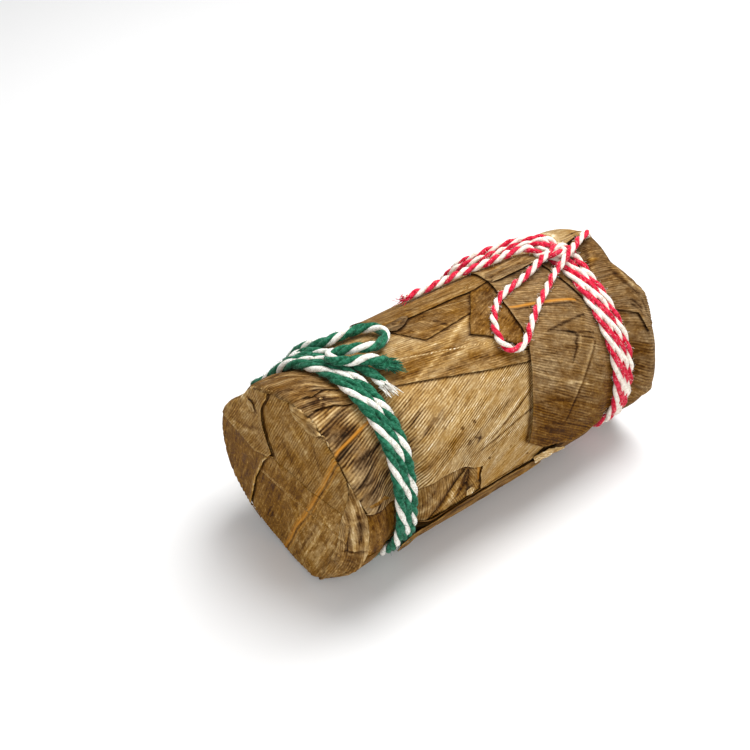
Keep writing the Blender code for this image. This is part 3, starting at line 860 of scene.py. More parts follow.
class FrontLeaves(LeafGroup):
    """The leaves on the side that faces -Y and on top, from the lowest up."""

    leaves = (
        LeafSheet(
            "low_leaf", ((-60.5, 66), (-16, 70), (-17, 77), (-20.9, 81.3), (-25.6, 86.4), (-29.7, 93.5),
            (-33.4, 100.5), (-37, 114), (-60.5, 114)), 0.0, 88.0, 0.46, 0.55, 21, slot="leaf_dark_brown",
            nodes=("low_leaf",), near_reach=0.2,
            strokes=(
                Stroke(((-20.9, 81.3), (-25.6, 86.4), (-29.7, 93.5), (-34, 101)), 0.5, -0.45, 0.3),
                Stroke(((-26, 82), (-33, 93), (-40, 103)), 0.5, 0.22, 0.1),
                Stroke(((-31, 81), (-36, 92), (-42, 104)), 0.4, -0.22),
                Stroke(((-37, 81), (-41, 93), (-46, 104)), 0.5, 0.14),
                Stroke(((-43, 81), (-45, 94), (-47, 104)), 0.5, -0.18))),
        LeafSheet(
            "low_patch_leaf", ((-59.2, 72), (-51, 73), (-48, 79), (-47.5, 106), (-59.8, 108), (-59.4, 92)),
            0.2, 80.0, 0.35, 0.95, 22, slot="leaf_dark_brown", finish=SMOOTH_LEAF, follows_rims=False,
            strokes=(
                Stroke(((-60, 80), (-60.5, 90), (-59.4, 103)), 0.9, 0.25, 0.15, -0.3),
                Stroke(((-56, 81), (-55, 92), (-55.5, 104)), 0.5, 0.1),
                Stroke(((-52, 80), (-51, 92), (-51.5, 105)), 0.5, -0.12))),
        LeafSheet(
            "tuck_leaf", ((-16, 77), (-24, 86.4), (-32, 101), (-34, 112), (-15, 112), (-11, 104), (-12, 88),
            (-15, 79)), -0.22, 62.0, 0.44, 0.8, 23, slot="leaf_golden", nodes=("tuck_leaf",), crumple=0.26,
            crumple_size=3.4, cell=(0.7, 0.4),
            strokes=(
                Stroke(((-21, 82), (-24, 92), (-31, 104)), 0.9, 0.24, 0.5, -0.2),
                Stroke(((-19, 84), (-20, 92), (-25, 104)), 0.8, -0.5, -0.3),
                Stroke(((-20, 90), (-18, 105)), 0.7, -0.4, -0.2),
                Stroke(((-27, 92), (-34, 106)), 0.7, -0.3, -0.2),
                Stroke(((-15.5, 84), (-14.4, 97)), 0.5, 0.15, 0.2, 0.4, 0.5)),
            patches=(Patch((-21, 88), (3.0, 2.0), -0.3), Patch((-25, 102), (4.0, 1.6), 0.3, -0.3))),
        LeafSheet(
            "centre_leaf", ((-60.5, 8), (-60.5, 60), (-60.6, 76), (-58, 77), (-50, 79), (-44, 80.4),
            (-37.5, 80.6), (-30, 79.0), (-20.9, 80.2), (-17.3, 84.6), (-13.4, 86.6), (-14.4, 91.7),
            (-13.4, 100), (-12.4, 107), (-9, 108.6), (10, 107), (13, 101), (24, 95), (27, 60), (24, 36),
            (-30, 10)), 0.25, -15.0, 0.64, 0.4, 24, 0.0058, slot="leaf_tan", nodes=("centre_leaf",),
            finish=RIBBED_LEAF, cell=(0.62, 0.4), near_reach=0.9, lift=0.3, lift_reach=1.2,
            strokes=(
                Stroke(((-66, 45), (-61, 40), (-55, 37.5), (-48, 34.5), (-42, 32)), 0.42, 0.05, 0.1, 0.3,
                0.9, 0.2),
                Stroke(((-66, 46.4), (-61, 41.4), (-55, 38.8), (-48, 35.8), (-42, 33.3)), 0.3, -0.3, -0.1),
                Stroke(((-9.1, 73.5), (-1.4, 68.3), (4.7, 64.2), (10.6, 60)), 0.34, -0.55, -0.15, 0.1),
                Stroke(((-15, 77), (-5.8, 74.4), (2.4, 71.3), (8.4, 69.7)), 0.32, -0.5, -0.12, 0.1),
                Stroke(((-12, 79), (-4, 76.6), (3, 74)), 0.26, -0.3),
                Stroke(((-16, 74), (-4, 67.5), (9, 58.5)), 0.5, 0.14, 0.12),
                Stroke(((-40, 52), (-34, 46), (-29, 40.5)), 1.0, -0.24),
                Stroke(((-38, 40), (-31, 34)), 1.0, -0.2), Stroke(((-37, 47), (-30, 41)), 0.5, -0.26),
                Stroke(((-36, 56), (-27, 48)), 0.5, -0.2),
                Stroke(((-32, 53), (-22.6, 46.7)), 1.5, -0.14, 0.0, -0.25), Stroke(((-36, 69), (-32.5, 69),
                (-24.5, 65.2), (-18, 61.3)), 2.0, -0.2, 0.0, 0.25, 0.0, 0.2),
                Stroke(((-30, 72), (-20, 67)), 1.2, -0.12, 0.0, 0.1),
                Stroke(((-7, 62.6), (6, 58.5)), 1.3, -0.14),
                Stroke(((-24, 56), (-15, 52), (-4, 50)), 1.1, 0.08),
                Stroke(((-27, 61), (-16, 56.5)), 1.0, 0.09),
                Stroke(((-14.4, 58.4), (-13.6, 60.4)), 0.55, -0.45),
                Stroke(((-15.2, 67.6), (-12.2, 70.4)), 0.4, -0.45),
                Stroke(((-12.6, 67.4), (-14.4, 71.4)), 0.36, -0.4),
                Stroke(((-11.0, 83.4), (-10.4, 84.8)), 0.42, -0.5),
                Stroke(((-19.4, 58.8), (-18.6, 60.2)), 0.5, -0.3),
                Stroke(((-25.6, 54), (-24.6, 55.6)), 0.5, -0.25),
                Stroke(((6.4, 97.6), (7.0, 99)), 0.4, -0.5), Stroke(((-2, 84), (-1.4, 84.8)), 0.3, -0.35),
                Stroke(((-57, 35), (-51, 32.5)), 1.2, -0.3),
                Stroke(((-62, 47.5), (-57, 48.5), (-50.5, 48)), 1.1, -0.28),
                Stroke(((-60, 52), (-54, 52.5), (-48, 50)), 0.6, -0.2),
                Stroke(((-61, 57), (-55, 58), (-49, 55)), 0.8, 0.12),
                Stroke(((-60, 42), (-53, 41), (-47, 39)), 0.6, 0.12),
                Stroke(((-58, 66), (-50, 65)), 0.8, -0.16),
                Stroke(((-62, 60), (-56, 61.5), (-48, 60)), 0.5, -0.24),
                Stroke(((-56, 72), (-47, 70)), 0.7, 0.12)),
            patches=(
                Patch((-20, 64), (6.5, 3.0), -0.06, -0.35, 0.9), Patch((-8, 90), (13.0, 5.0), -0.03, 0.45),
                Patch((4, 100), (9.0, 3.0), -0.08, 0.45), Patch((-26, 74), (9.0, 2.6), -0.06, 0.3),
                Patch((-3, 62), (9.0, 2.5), 0.05, 0.0), Patch((-55, 30), (6.0, 4.6), -0.34, 0.1, 1.2),
                Patch((-55, 60), (7.5, 8.0), -0.23, -0.4, 0.8),
                Patch((-55, 43), (8.0, 6.0), -0.27, -0.3, 0.8),
                Patch((4.2, 80.5), (1.4, 2.6), -0.14, 0.5))),
        LeafSheet(
            "strip_leaf", ((-60.5, 16.5), (-59, 17.5), (-48, 20.5), (-38, 22), (-25, 28), (-12, 34.5),
            (0, 40), (12.5, 45), (20, 45), (22, 20), (10, -2), (-12, -12), (-22, -24), (-45, -26),
            (-60.5, -26)), 0.5, 8.0, 0.54, 0.42, 25, slot="leaf_olive",
            nodes=("strip_leaf", "near_under_leaf"), cell=(0.62, 0.42), lift=0.3, lift_reach=1.2,
            near_reach=1.1,
            strokes=(
                Stroke(((-29, 21), (-16, 20), (-4, 17)), 3.2, -0.17, 0.0, 0.4, 0.0, 0.3),
                Stroke(((-25.5, 26.4), (-18, 23), (-10, 18.6), (-3, 13), (4.8, 8.2)), 1.0, 0.24, 0.0, -0.1),
                Stroke(((-20, 28.6), (-10, 26), (-2, 23)), 1.6, 0.12, 0.0, -0.1),
                Stroke(((-18, 31), (-6, 30.6), (4, 33.6), (10, 39)), 2.4, -0.17, 0.0, 0.25, 0.0, 0.3),
                Stroke(((-27, 4), (-20, 3), (-14, 10)), 3.2, 0.12, 0.0, -0.2, 0.0, 0.2),
                Stroke(((-28, 10), (-16, 14), (-6, 13.5)), 0.5, 0.12),
                Stroke(((-26, 0), (-18, 0.5)), 0.5, -0.14), Stroke(((2, 24), (8, 30)), 2.0, 0.1),
                Stroke(((-12, 36), (0, 40)), 0.5, 0.12),
                Stroke(((-64, 12), (-59, 13.4), (-54, 12)), 0.9, -0.4, -0.2),
                Stroke(((-60, 20.6), (-56.5, 16)), 0.7, -0.4),
                Stroke(((-57, 10.5), (-55, 14), (-50, 14.5)), 0.6, -0.42, -0.1),
                Stroke(((-62, 17), (-56, 18), (-50, 18)), 0.5, 0.2, 0.15),
                Stroke(((-55, 16), (-49, 17)), 0.4, -0.3), Stroke(((-54, 12.5), (-48, 13)), 0.5, 0.2, 0.1)),
            patches=(Patch((1, 20), (6.0, 4.0), 0.05, -0.2), Patch((-55, 15), (8.0, 3.6), -0.14, -0.1, 1.6))),
        LeafSheet(
            "near_flap_leaf", ((-60.5, 7.5), (-60, 8.6), (-58, 10), (-55, 9), (-52.5, 8), (-50, 8.5),
            (-48, 10), (-44, 10), (-40, 2), (-42, -32), (-60.5, -34)), 0.78, 10.0, 0.36, 0.45, 26,
            slot="leaf_olive", nodes=("near_flap_leaf",), lift=0.3, near_reach=1.2, ragged=0.4,
            strokes=(
                # The dark band is painted shadow in a dent, and the light band below it is a painted
                # highlight on the dent's far side.
                Stroke(((-66, -24), (-58, -15.5), (-50, -9)), 1.3, -0.2, -0.4, 0.3, 0.0, 0.2),
                Stroke(((-67, -12), (-61, -8), (-55, -5)), 0.9, 0.2, 0.25, -0.1),
                Stroke(((-66, -3), (-61, 0)), 0.6, -0.22, -0.15),
                Stroke(((-60, -2), (-55, 2), (-50, 6)), 0.6, 0.26, 0.1),
                Stroke(((-57, 3), (-52, 6)), 0.5, -0.3),
                Stroke(((-63, 2), (-57, 6), (-52, 10)), 0.5, 0.22, 0.1),
                Stroke(((-60, 4), (-54, 8.5)), 0.4, -0.3), Stroke(((-56, -4), (-50, 0)), 0.5, 0.22),
                Stroke(((-54, -1), (-49, 3)), 0.4, -0.25), Stroke(((-66, 3), (-62, 6)), 0.6, 0.2, 0.15),
                Stroke(((-57, 7), (-53, 8.5)), 0.6, -0.42)),
            patches=(
                Patch((-54, 3), (4.0, 2.4), 0.14, -0.2, 1.2), Patch((-62, -6), (5.0, 4.0), -0.06, 0.2, 1.0),
                Patch((-58, -28), (6.0, 3.0), 0.06))),
        LeafSheet(
            "upper_leaf", ((-20.5, -8), (-20, -5), (-17, 3), (-13.5, 9.7), (-4, 8.5), (6.6, 6.8), (11, 6),
            (17, -12), (16, -16), (-20.5, -16)), 0.75, 12.0, 0.36, 0.55, 27, slot="leaf_grey_brown",
            nodes=("upper_leaf",),
            strokes=(
                Stroke(((-10, -4), (-5, 8)), 0.35, 0.22, 0.1), Stroke(((-6, 0), (-3.5, 8)), 0.3, -0.35),
                Stroke(((-13.5, 9.0), (-4, 7.8), (6.4, 6.2)), 0.3, 0.2),
                Stroke(((-16, 1), (-10, 7)), 0.35, 0.15), Stroke(((0, -6), (4, 4)), 0.4, 0.14)),
            patches=(Patch((-12, 2), (3.0, 2.4), 0.08, 0.1), Patch((2, 0), (4.0, 3.0), 0.04, 0.2))),
        LeafSheet(
            "dark_flake", ((-20.6, -11), (-11.5, -12.5), (-11.3, -9), (-15, -5), (-18.5, -3.5),
            (-20.6, -6)), 1.18, 30.0, 0.3, 0.15, 28, slot="leaf_dark_brown", lift=0.35, cell=(0.6, 0.4),
            strokes=(Stroke(((-20, -8), (-15, -8)), 0.5, 0.25),)),
        LeafSheet(
            "golden_leaf", ((13.6, -9), (14, -7), (10, 0), (6.6, 6.8), (3.2, 12.6), (0.5, 18.5), (5.5, 24),
            (13, 36), (14.5, 39), (20, 39), (25, 20), (26, 0), (25, -12), (14, -13)), 0.92, -20.0, 0.37,
            0.78, 29, slot="leaf_golden", nodes=("golden_leaf",), lift=0.22, finish=SMOOTH_LEAF,
            strokes=(
                Stroke(((8, 10), (14, 18), (17, 26)), 0.35, -0.18),
                Stroke(((4, 18), (10, 26), (14.5, 34)), 0.35, 0.12),
                Stroke(((14, -5), (18, 2), (19, 10)), 0.35, -0.14),
                Stroke(((9, 3), (14, 10), (17, 18)), 0.3, 0.1)),
            patches=(Patch((16, 4), (4.0, 3.0), -0.06, -0.2), Patch((8, 22), (5.0, 2.0), 0.08, 0.0))),
        LeafSheet(
            "ridge_leaf", ((-20.5, -9.5), (-11.5, -9), (-4, -8.2), (5, -8), (15, -6.5), (21, -8), (27, -8),
            (27, -40), (25, -74), (-21, -76)), 1.04, 8.0, 0.44, 0.62, 30, slot="leaf_tan",
            nodes=("ridge_leaf",), lift=0.3, cell=(1.1, 0.5), bridge=0.6,
            strokes=(
                Stroke(((-8, -18), (-4, -10)), 0.35, -0.4),
                Stroke(((-18, -20), (2, -15), (20, -12)), 0.5, -0.15),
                Stroke(((-20, -14), (0, -11.5), (18, -9.5)), 0.45, 0.16),
                Stroke(((-14, -27), (8, -22), (22, -19)), 0.5, 0.14),
                Stroke(((-19, -32), (4, -28), (22, -25)), 0.5, -0.16),
                Stroke(((12, -18), (17, -8)), 0.35, 0.14)),
            patches=(Patch((-14, -14), (6.0, 3.0), -0.05, 0.2), Patch((8, -14), (8.0, 2.0), 0.07, -0.1))),
        LeafSheet(
            "far_leaf", ((24, -14), (21.5, -9), (21.5, -8), (20.5, 0), (18.5, 10), (17.5, 20), (17.2, 29),
            (15.6, 38.5), (12.9, 49), (10.3, 59.5), (8.4, 69.7), (6.6, 78), (5.2, 87), (12, 96.6),
            (24, 104.5), (27, 109), (42, 104), (52, 106), (63, 106), (63, -14)), 1.2, 27.0, 0.44, 0.24, 31,
            -0.004, slot="leaf_grey_brown", nodes=("far_leaf",), lift=0.5, lift_reach=1.5, cell=(0.6, 0.42),
            rim_tone=0.16,
            strokes=(
                Stroke(((18.5, 15.3), (30, 20.6), (42, 27.6)), 0.48, 0.1, 0.1, 0.3, 0.9, 0.3),
                Stroke(((19.5, 17.4), (30, 22.6), (41, 29)), 0.48, -0.3, -0.1),
                Stroke(((25, 36), (33, 36.2), (42, 37)), 0.46, -0.36, 0.2),
                Stroke(((26, 36.5), (30, 39.5), (35, 44), (42, 48)), 0.46, -0.3, 0.15), Stroke(((32, 41),
                (34, 43.4), (34.8, 46), (33, 48.4), (33, 51), (31, 54), (29.5, 57)), 0.5, -0.4, -0.3),
                Stroke(((33.4, 42), (35.8, 45.6), (34.4, 50), (31.6, 55)), 0.5, 0.2, 0.35),
                Stroke(((36, 47), (38, 48.6), (41, 51)), 0.4, -0.36),
                Stroke(((41, 53), (36, 61), (31, 70), (26, 79), (22, 88)), 0.5, -0.28, -0.1, 0.3),
                Stroke(((39.4, 53), (34.6, 61), (29.6, 70), (24.6, 79)), 0.7, 0.16, 0.25),
                Stroke(((12, 50), (17, 56), (22, 62), (31, 71), (36, 75)), 0.45, 0.18, 0.2),
                Stroke(((32, 71.6), (33, 73)), 0.6, 0.3), Stroke(((12, 97.2), (24, 104)), 0.5, 0.15),
                Stroke(((11, 58), (24, 66), (40, 74)), 0.35, 0.12),
                Stroke(((9, 66), (22, 74), (36, 82)), 0.35, -0.14),
                Stroke(((14, 42), (20, 46), (28, 50)), 0.35, -0.12),
                Stroke(((20, 6), (32, 12), (44, 18)), 0.35, 0.1),
                Stroke(((24, 0), (34, 5), (44, 9)), 0.4, -0.12)),
            patches=(
                Patch((20, 48), (6.0, 5.0), 0.02, -0.25), Patch((14, 72), (10.0, 5.0), -0.1, 0.4),
                Patch((24, 70), (10.0, 4.5), -0.1, 0.45), Patch((14, 88), (10.0, 6.0), -0.14, 0.8),
                Patch((30, 92), (16.0, 7.0), -0.18, 0.9), Patch((48, 84), (11.0, 11.0), -0.14, 0.8),
                # Patch((30, -2)) darkens the strip just under the far top leaf's edge: painted shadow.
                Patch((34, 2), (12.0, 2.6), 0.0, -0.1), Patch((30, -2), (9.0, 1.6), -0.14, -0.3),
                Patch((38, 30), (5.0, 2.6), -0.06, 0.0), Patch((56, 70), (6.0, 8.0), -0.16, 0.35))),
        LeafSheet(
            "far_flap_leaf", ((43, -3), (54, -5), (63, -8), (63, 62), (62.2, 62), (61, 50.5), (56, 44),
            (52, 39), (47, 36), (45, 20)), 1.5, 25.0, 0.365, 0.3, 32, slot="leaf_grey_brown",
            nodes=("far_flap_leaf",), lift=0.45, rim_tone=0.18, far_reach=1.2,
            strokes=(
                Stroke(((60.5, 1), (57, 10), (52, 22)), 0.5, -0.3, -0.2),
                Stroke(((61.5, 2), (58.4, 11), (53.4, 23)), 0.6, 0.2, 0.15),
                Stroke(((52, 12.6), (58, 13.4)), 0.4, -0.3),
                Stroke(((57.5, 9), (60, 12)), 0.7, 0.1, 0, 0.5),
                Stroke(((61, 42), (62.5, 46), (64, 50)), 0.5, -0.34, -0.1),
                Stroke(((59, 42), (61, 46.5), (62.4, 51)), 0.4, -0.3),
                Stroke(((62.5, 20), (64, 32), (68.5, 41)), 0.8, 0.3, 0.3, -0.2),
                Stroke(((60.5, 20), (62, 32), (66, 42)), 0.6, -0.25, -0.1),
                Stroke(((50, 26), (56, 32), (61, 38)), 0.5, 0.12), Stroke(((66, 44), (66, 60)), 0.6, -0.2)),
            patches=(
                Patch((54, 9), (4.0, 2.5), 0.0, 0.35), Patch((56, 30), (7.0, 3.0), 0.06, 0.0),
                Patch((66, 52), (5.0, 4.0), 0.1, -0.2))),
        LeafSheet(
            "far_top_leaf", ((21.4, -8.6), (22, -5), (25, -4.4), (36, -4.4), (47.5, -4.3), (54, -5.8),
            (59.5, -8), (63, -10), (63, -76), (22.5, -76), (22.6, -40), (22.5, -18)), 1.42, 5.0, 0.58, 0.32,
            33, slot="leaf_tan", nodes=("far_top_leaf",), lift=0.35, bridge=1.0,
            strokes=(
                Stroke(((22, -5), (25, -11)), 0.45, -0.35, -0.1),
                Stroke(((22.6, -10), (36, -9), (50, -12)), 0.5, -0.16),
                Stroke(((54, -7), (58, -20), (60, -34)), 0.8, 0.25, 0.5, -0.2),
                Stroke(((50, -12), (54, -26)), 0.6, -0.2, -0.2),
                Stroke(((26, -14), (44, -16), (60, -20)), 0.5, 0.15, 0.1)),
            patches=(
                Patch((34, -7), (12.0, 1.5), -0.22, -0.2), Patch((54, -22), (9.0, 7.0), 0.14, -0.1),
                Patch((30, -16), (6.0, 3.0), -0.1, 0.2))),
    )


class LowLeaves(LeafGroup):
    """The loose lower edges that meet the table on the side facing -Y."""

    leaves = (
        LeafSheet(
            "under_leaf", ((-60.5, 105), (-45, 108), (-37, 107), (-20, 108), (-8, 106.5), (6, 106),
            (14, 108), (30, 104), (63, 103), (63, 150), (-60.5, 150)), 0.35, 4.0, 0.36, 0.7, 41,
            slot="leaf_dark_brown", nodes=("under_leaf",), bridge=0.0, lift=0.2,
            strokes=(
                Stroke(((-58, 112), (-20, 115), (20, 112), (60, 110)), 0.6, 0.18, 0.15),
                Stroke(((-58, 119), (0, 121), (60, 118)), 0.6, -0.2),
                Stroke(((-50, 127), (0, 129), (50, 126)), 0.6, 0.1))),
        LeafSheet(
            "under_flap", ((-47, 113), (-46, 109.5), (-44, 107.8), (-38, 107.4), (-34, 110), (-22, 108.5),
            (-10, 109), (2, 108), (14, 109.5), (16, 118), (2, 128), (-20, 134), (-36, 130), (-45, 122)),
            0.75, 3.0, 0.4, 0.75, 42, slot="leaf_dark_brown", bridge=1.0, lift=0.4, ragged=0.5,
            crumple=0.15, crumple_size=7.0,
            strokes=(
                Stroke(((-50, 109), (-45, 121), (-44, 132)), 6.5, 0.0, 1.0, 0.0, 0.0, 0.0),
                Stroke(((-56, 110), (-40, 110), (-20, 111), (12, 111)), 0.5, 0.2),
                Stroke(((-52, 114), (-20, 116), (8, 114)), 0.5, -0.25))),
        LeafSheet(
            "torn_flake", ((9.5, 103.5), (12, 102), (15, 102.4), (19, 105.5), (25, 111), (22, 113.5),
            (15, 112), (11, 110)), 1.0, 30.0, 0.72, 0.35, 43, slot="leaf_tan", lift=0.6, crumple=0.4,
            crumple_size=3.0, cell=(0.6, 0.4), ragged=0.5),
        LeafSheet(
            "curled_scrap", ((-20.5, 97), (-18.5, 96.4), (-16.8, 99), (-17.5, 103), (-20, 102)), 0.75, 70.0,
            0.74, 0.45, 44, slot="leaf_tan", lift=0.4, crumple=0.2, crumple_size=2.5, cell=(0.5, 0.35)),
    )


# The midrib crosses the near end in y and z; thin lines run beside it at these distances.
MIDRIB = ((-27.5, 69), (-26.5, 66), (-24, 60), (-21, 52), (-18, 44), (-14, 35), (-10, 27), (-5.5, 19),
          (-1.5, 10), (3, 2), (4, -2))
BESIDE, WIDE, PAST = (tuple((y + off, z + 0.4 * off) for y, z in MIDRIB) for off in (-0.75, 0.8, -1.5))


class NearEndLeaves(LeafGroup):
    """The folded leaves that close the near end."""

    leaves = (
        LeafSheet(
            "end_top_leaf", ((40, 30), (40, 76), (-40, 76), (-40, 30)), 0.0, -65.0, 0.5, 0.72, 51,
            chart=Chart.NEAR_END, slot="leaf_tan", nodes=("end_top_leaf",),
            strokes=(
                Stroke(MIDRIB[:6], 0.3, 0.04, 0.06, 0.3, 0.85, 0.1), Stroke(BESIDE[:6], 0.3, -0.26, -0.06),
                Stroke(WIDE[:6], 0.26, 0.1, 0.04, 0.3, 0.5, 0.1),
                Stroke(PAST[:6], 0.26, 0.12, 0.04, 0.3, 0.4, 0.1),
                Stroke(((-1, 63), (-6, 58), (-12, 52)), 0.5, 0.2),
                Stroke(((2, 58), (-6, 50), (-14, 45)), 0.5, 0.18),
                Stroke(((0, 52), (-4, 46), (-10, 42)), 0.5, -0.2),
                Stroke(((-8, 66), (-14, 58), (-17, 50)), 0.45, -0.18)),
            patches=(Patch((-4, 48), (6.0, 4.0), -0.06, 0.2), Patch((-13, 61), (5.0, 3.0), 0.08, -0.1))),
        LeafSheet(
            "end_leaf", ((8, 41.5), (2, 41), (-6, 40.6), (-12, 40), (-20, 41), (-40, 42), (-40, -4),
            (24, -4), (20.5, 6), (15, 25), (10, 36)), 0.06, -65.5, 0.49, 0.82, 52, chart=Chart.NEAR_END,
            slot="leaf_olive", nodes=("end_leaf",), finish=SMOOTH_LEAF, lift=0.02, lift_reach=1.0,
            rim_tone=0.0, shade=0.05, thickness=0.06,
            strokes=(
                Stroke(MIDRIB[4:], 0.36, 0.02, 0.08, 0.3, 0.95, 0.1), Stroke(BESIDE[4:], 0.32, -0.3, -0.06),
                Stroke(WIDE[4:], 0.24, 0.1, 0.03, 0.3, 0.4, 0.1),
                Stroke(PAST[4:], 0.26, 0.1, 0.03, 0.3, 0.3, 0.1),
                Stroke(((-16, 36), (-19, 33.4), (-23, 31)), 0.4, 0.3, 0.1),
                Stroke(((-10, 37), (-6, 24), (2, 8)), 0.4, 0.12),
                Stroke(((-20, 32), (-15, 20), (-9, 8)), 0.45, 0.22),
                Stroke(((-24, 30), (-19, 18), (-14, 8)), 0.45, 0.2),
                Stroke(((-27, 30), (-22, 19), (-18, 10)), 0.4, -0.2),
                Stroke(((-17, 30), (-12, 19), (-6, 7)), 0.4, -0.18),
                Stroke(((2, 36), (8, 22), (14, 6)), 0.5, -0.12),
                Stroke(((-30, 38), (-28, 28), (-24, 18)), 0.5, 0.18),
                Stroke(((-2, 34), (3, 22), (8, 10)), 0.4, 0.12)),
            patches=(
                Patch((5, 28), (9.0, 7.0), -0.15, 0.5), Patch((8, 12), (9.0, 6.0), -0.12, 0.5),
                Patch((-22, 20), (12.0, 5.0), 0.05, -0.15), Patch((-14, 22), (9.0, 3.0), 0.06, -0.2),
                Patch((-24, 32), (6.0, 2.5), 0.08, -0.2), Patch((-6, 34), (4.0, 3.0), -0.12, 0.1),
                Patch((-10, 8), (6.0, 4.0), 0.02, 0.1))),
        LeafSheet(
            "end_left_leaf", ((3.6, 42.5), (7, 40), (10, 36), (15, 25), (20, 10), (20.5, 6), (21, -4),
            (40, -4), (40, 44), (30, 41), (14, 38.4)), 0.3, -72.0, 0.39, 1.0, 53, chart=Chart.NEAR_END,
            slot="leaf_golden", nodes=("end_left_leaf",), finish=SMOOTH_LEAF, lift=0.3, lift_reach=1.1,
            rim_tone=0.35, shade=0.16,
            strokes=(
                Stroke(((7.6, 39.5), (10.7, 35.6), (15.7, 24.6), (20.7, 9.6)), 0.6, 0.26, 0.3),
                Stroke(((14, 38), (22, 40), (31, 41.6)), 0.5, -0.22),
                Stroke(((24, 34), (27, 22), (29, 12)), 0.5, 0.1),
                Stroke(((18, 30), (23, 18), (25, 9)), 0.45, -0.1)),
            patches=(Patch((28, 28), (7.0, 3.0), -0.08, 0.1), Patch((22, 32), (6.0, 2.0), 0.06, 0.0))),
        LeafSheet(
            "end_flap_leaf", ((3.6, 76), (4.4, 69), (5, 66), (8, 60), (8.5, 55), (8, 52), (7, 48),
            (4.5, 43.4), (7, 40.6), (14, 38), (22, 39.6), (30, 41), (40, 43), (40, 76)), 0.55, -58.0, 0.52,
            0.66, 54, chart=Chart.NEAR_END, slot="leaf_olive", nodes=("end_flap_leaf",), lift=0.45,
            lift_reach=1.2, rim_tone=0.2,
            strokes=(
                Stroke(((14, 60), (22, 54), (32, 50)), 0.45, 0.25, 0.1),
                Stroke(((16, 54), (24, 48), (32, 45)), 0.5, 0.2),
                Stroke(((12, 64), (20, 61), (27, 58)), 0.5, 0.18),
                Stroke(((10, 50), (18, 45), (28, 42.5)), 0.5, -0.2),
                Stroke(((12, 46), (20, 42.5), (27, 41.8)), 0.5, 0.16)),
            patches=(Patch((16, 62), (6.0, 3.0), 0.12, -0.1), Patch((24, 48), (6.0, 3.0), -0.08, 0.1))),
        LeafSheet(
            "end_tuck", ((-2, 71), (-5, 67), (-8, 64.6), (-13, 63.4), (-19, 64.6), (-23, 66), (-22, 71),
            (-10, 73)), 0.35, 10.0, 0.54, 0.45, 55, chart=Chart.NEAR_END, slot="leaf_tan", lift=0.2,
            crumple=0.5, crumple_size=2.6, cell=(0.55, 0.4), ragged=0.5),
        LeafSheet(
            "end_curl", ((12, 56), (13, 59), (15.4, 59), (16, 56.5), (14, 54.6)), 0.75, 60.0, 0.56, 0.45,
            56, chart=Chart.NEAR_END, slot="leaf_tan", lift=0.3, crumple=0.25, crumple_size=2.0,
            cell=(0.5, 0.35)),
    )


class NearCorner(LeafGroup):
    """The crumpled corner between the near end and the side facing -Y."""

    leaves = (
        LeafSheet(
            "near_corner_leaf", ((-62.4, 56), (-61.2, 64), (-60.2, 72), (-59.2, 79), (-59.4, 92),
            (-59.6, 106), (-59.8, 124), (-60.6, 142), (-61, 154), (-64.6, 154), (-66.4, 142), (-68.6, 128),
            (-69.0, 112), (-69.0, 98), (-68.4, 86), (-66.6, 76), (-64.6, 67), (-62.8, 60)), 0.14, 84.0,
            0.47, 0.45, 61, slot="leaf_grey_brown", follows_rims=False, crumple=0.3, crumple_size=3.4,
            cell=(0.8, 0.45), lift=0.3, lift_reach=0.9, rim_tone=0.2,
            strokes=(
                # The dark strokes along the sunken creases are painted shadow.
                Stroke(((-63.4, 68), (-63.4, 80), (-64.4, 92), (-63.4, 104)), 0.9, 0.3, 0.5),
                Stroke(((-62, 74), (-61.6, 86), (-62.4, 98)), 0.7, -0.36, -0.4),
                Stroke(((-65.6, 84), (-66.2, 96), (-65.6, 110)), 0.7, -0.34, -0.35),
                Stroke(((-60, 82), (-60.4, 96), (-60, 112)), 0.6, 0.2, 0.2),
                Stroke(((-59, 100), (-63, 106), (-67, 108)), 0.6, -0.34, -0.3)),
            patches=(Patch((-62, 118), (8.0, 4.0), -0.16, 0.2), Patch((-61, 90), (5.0, 2.0), 0.1, -0.2))),
    )


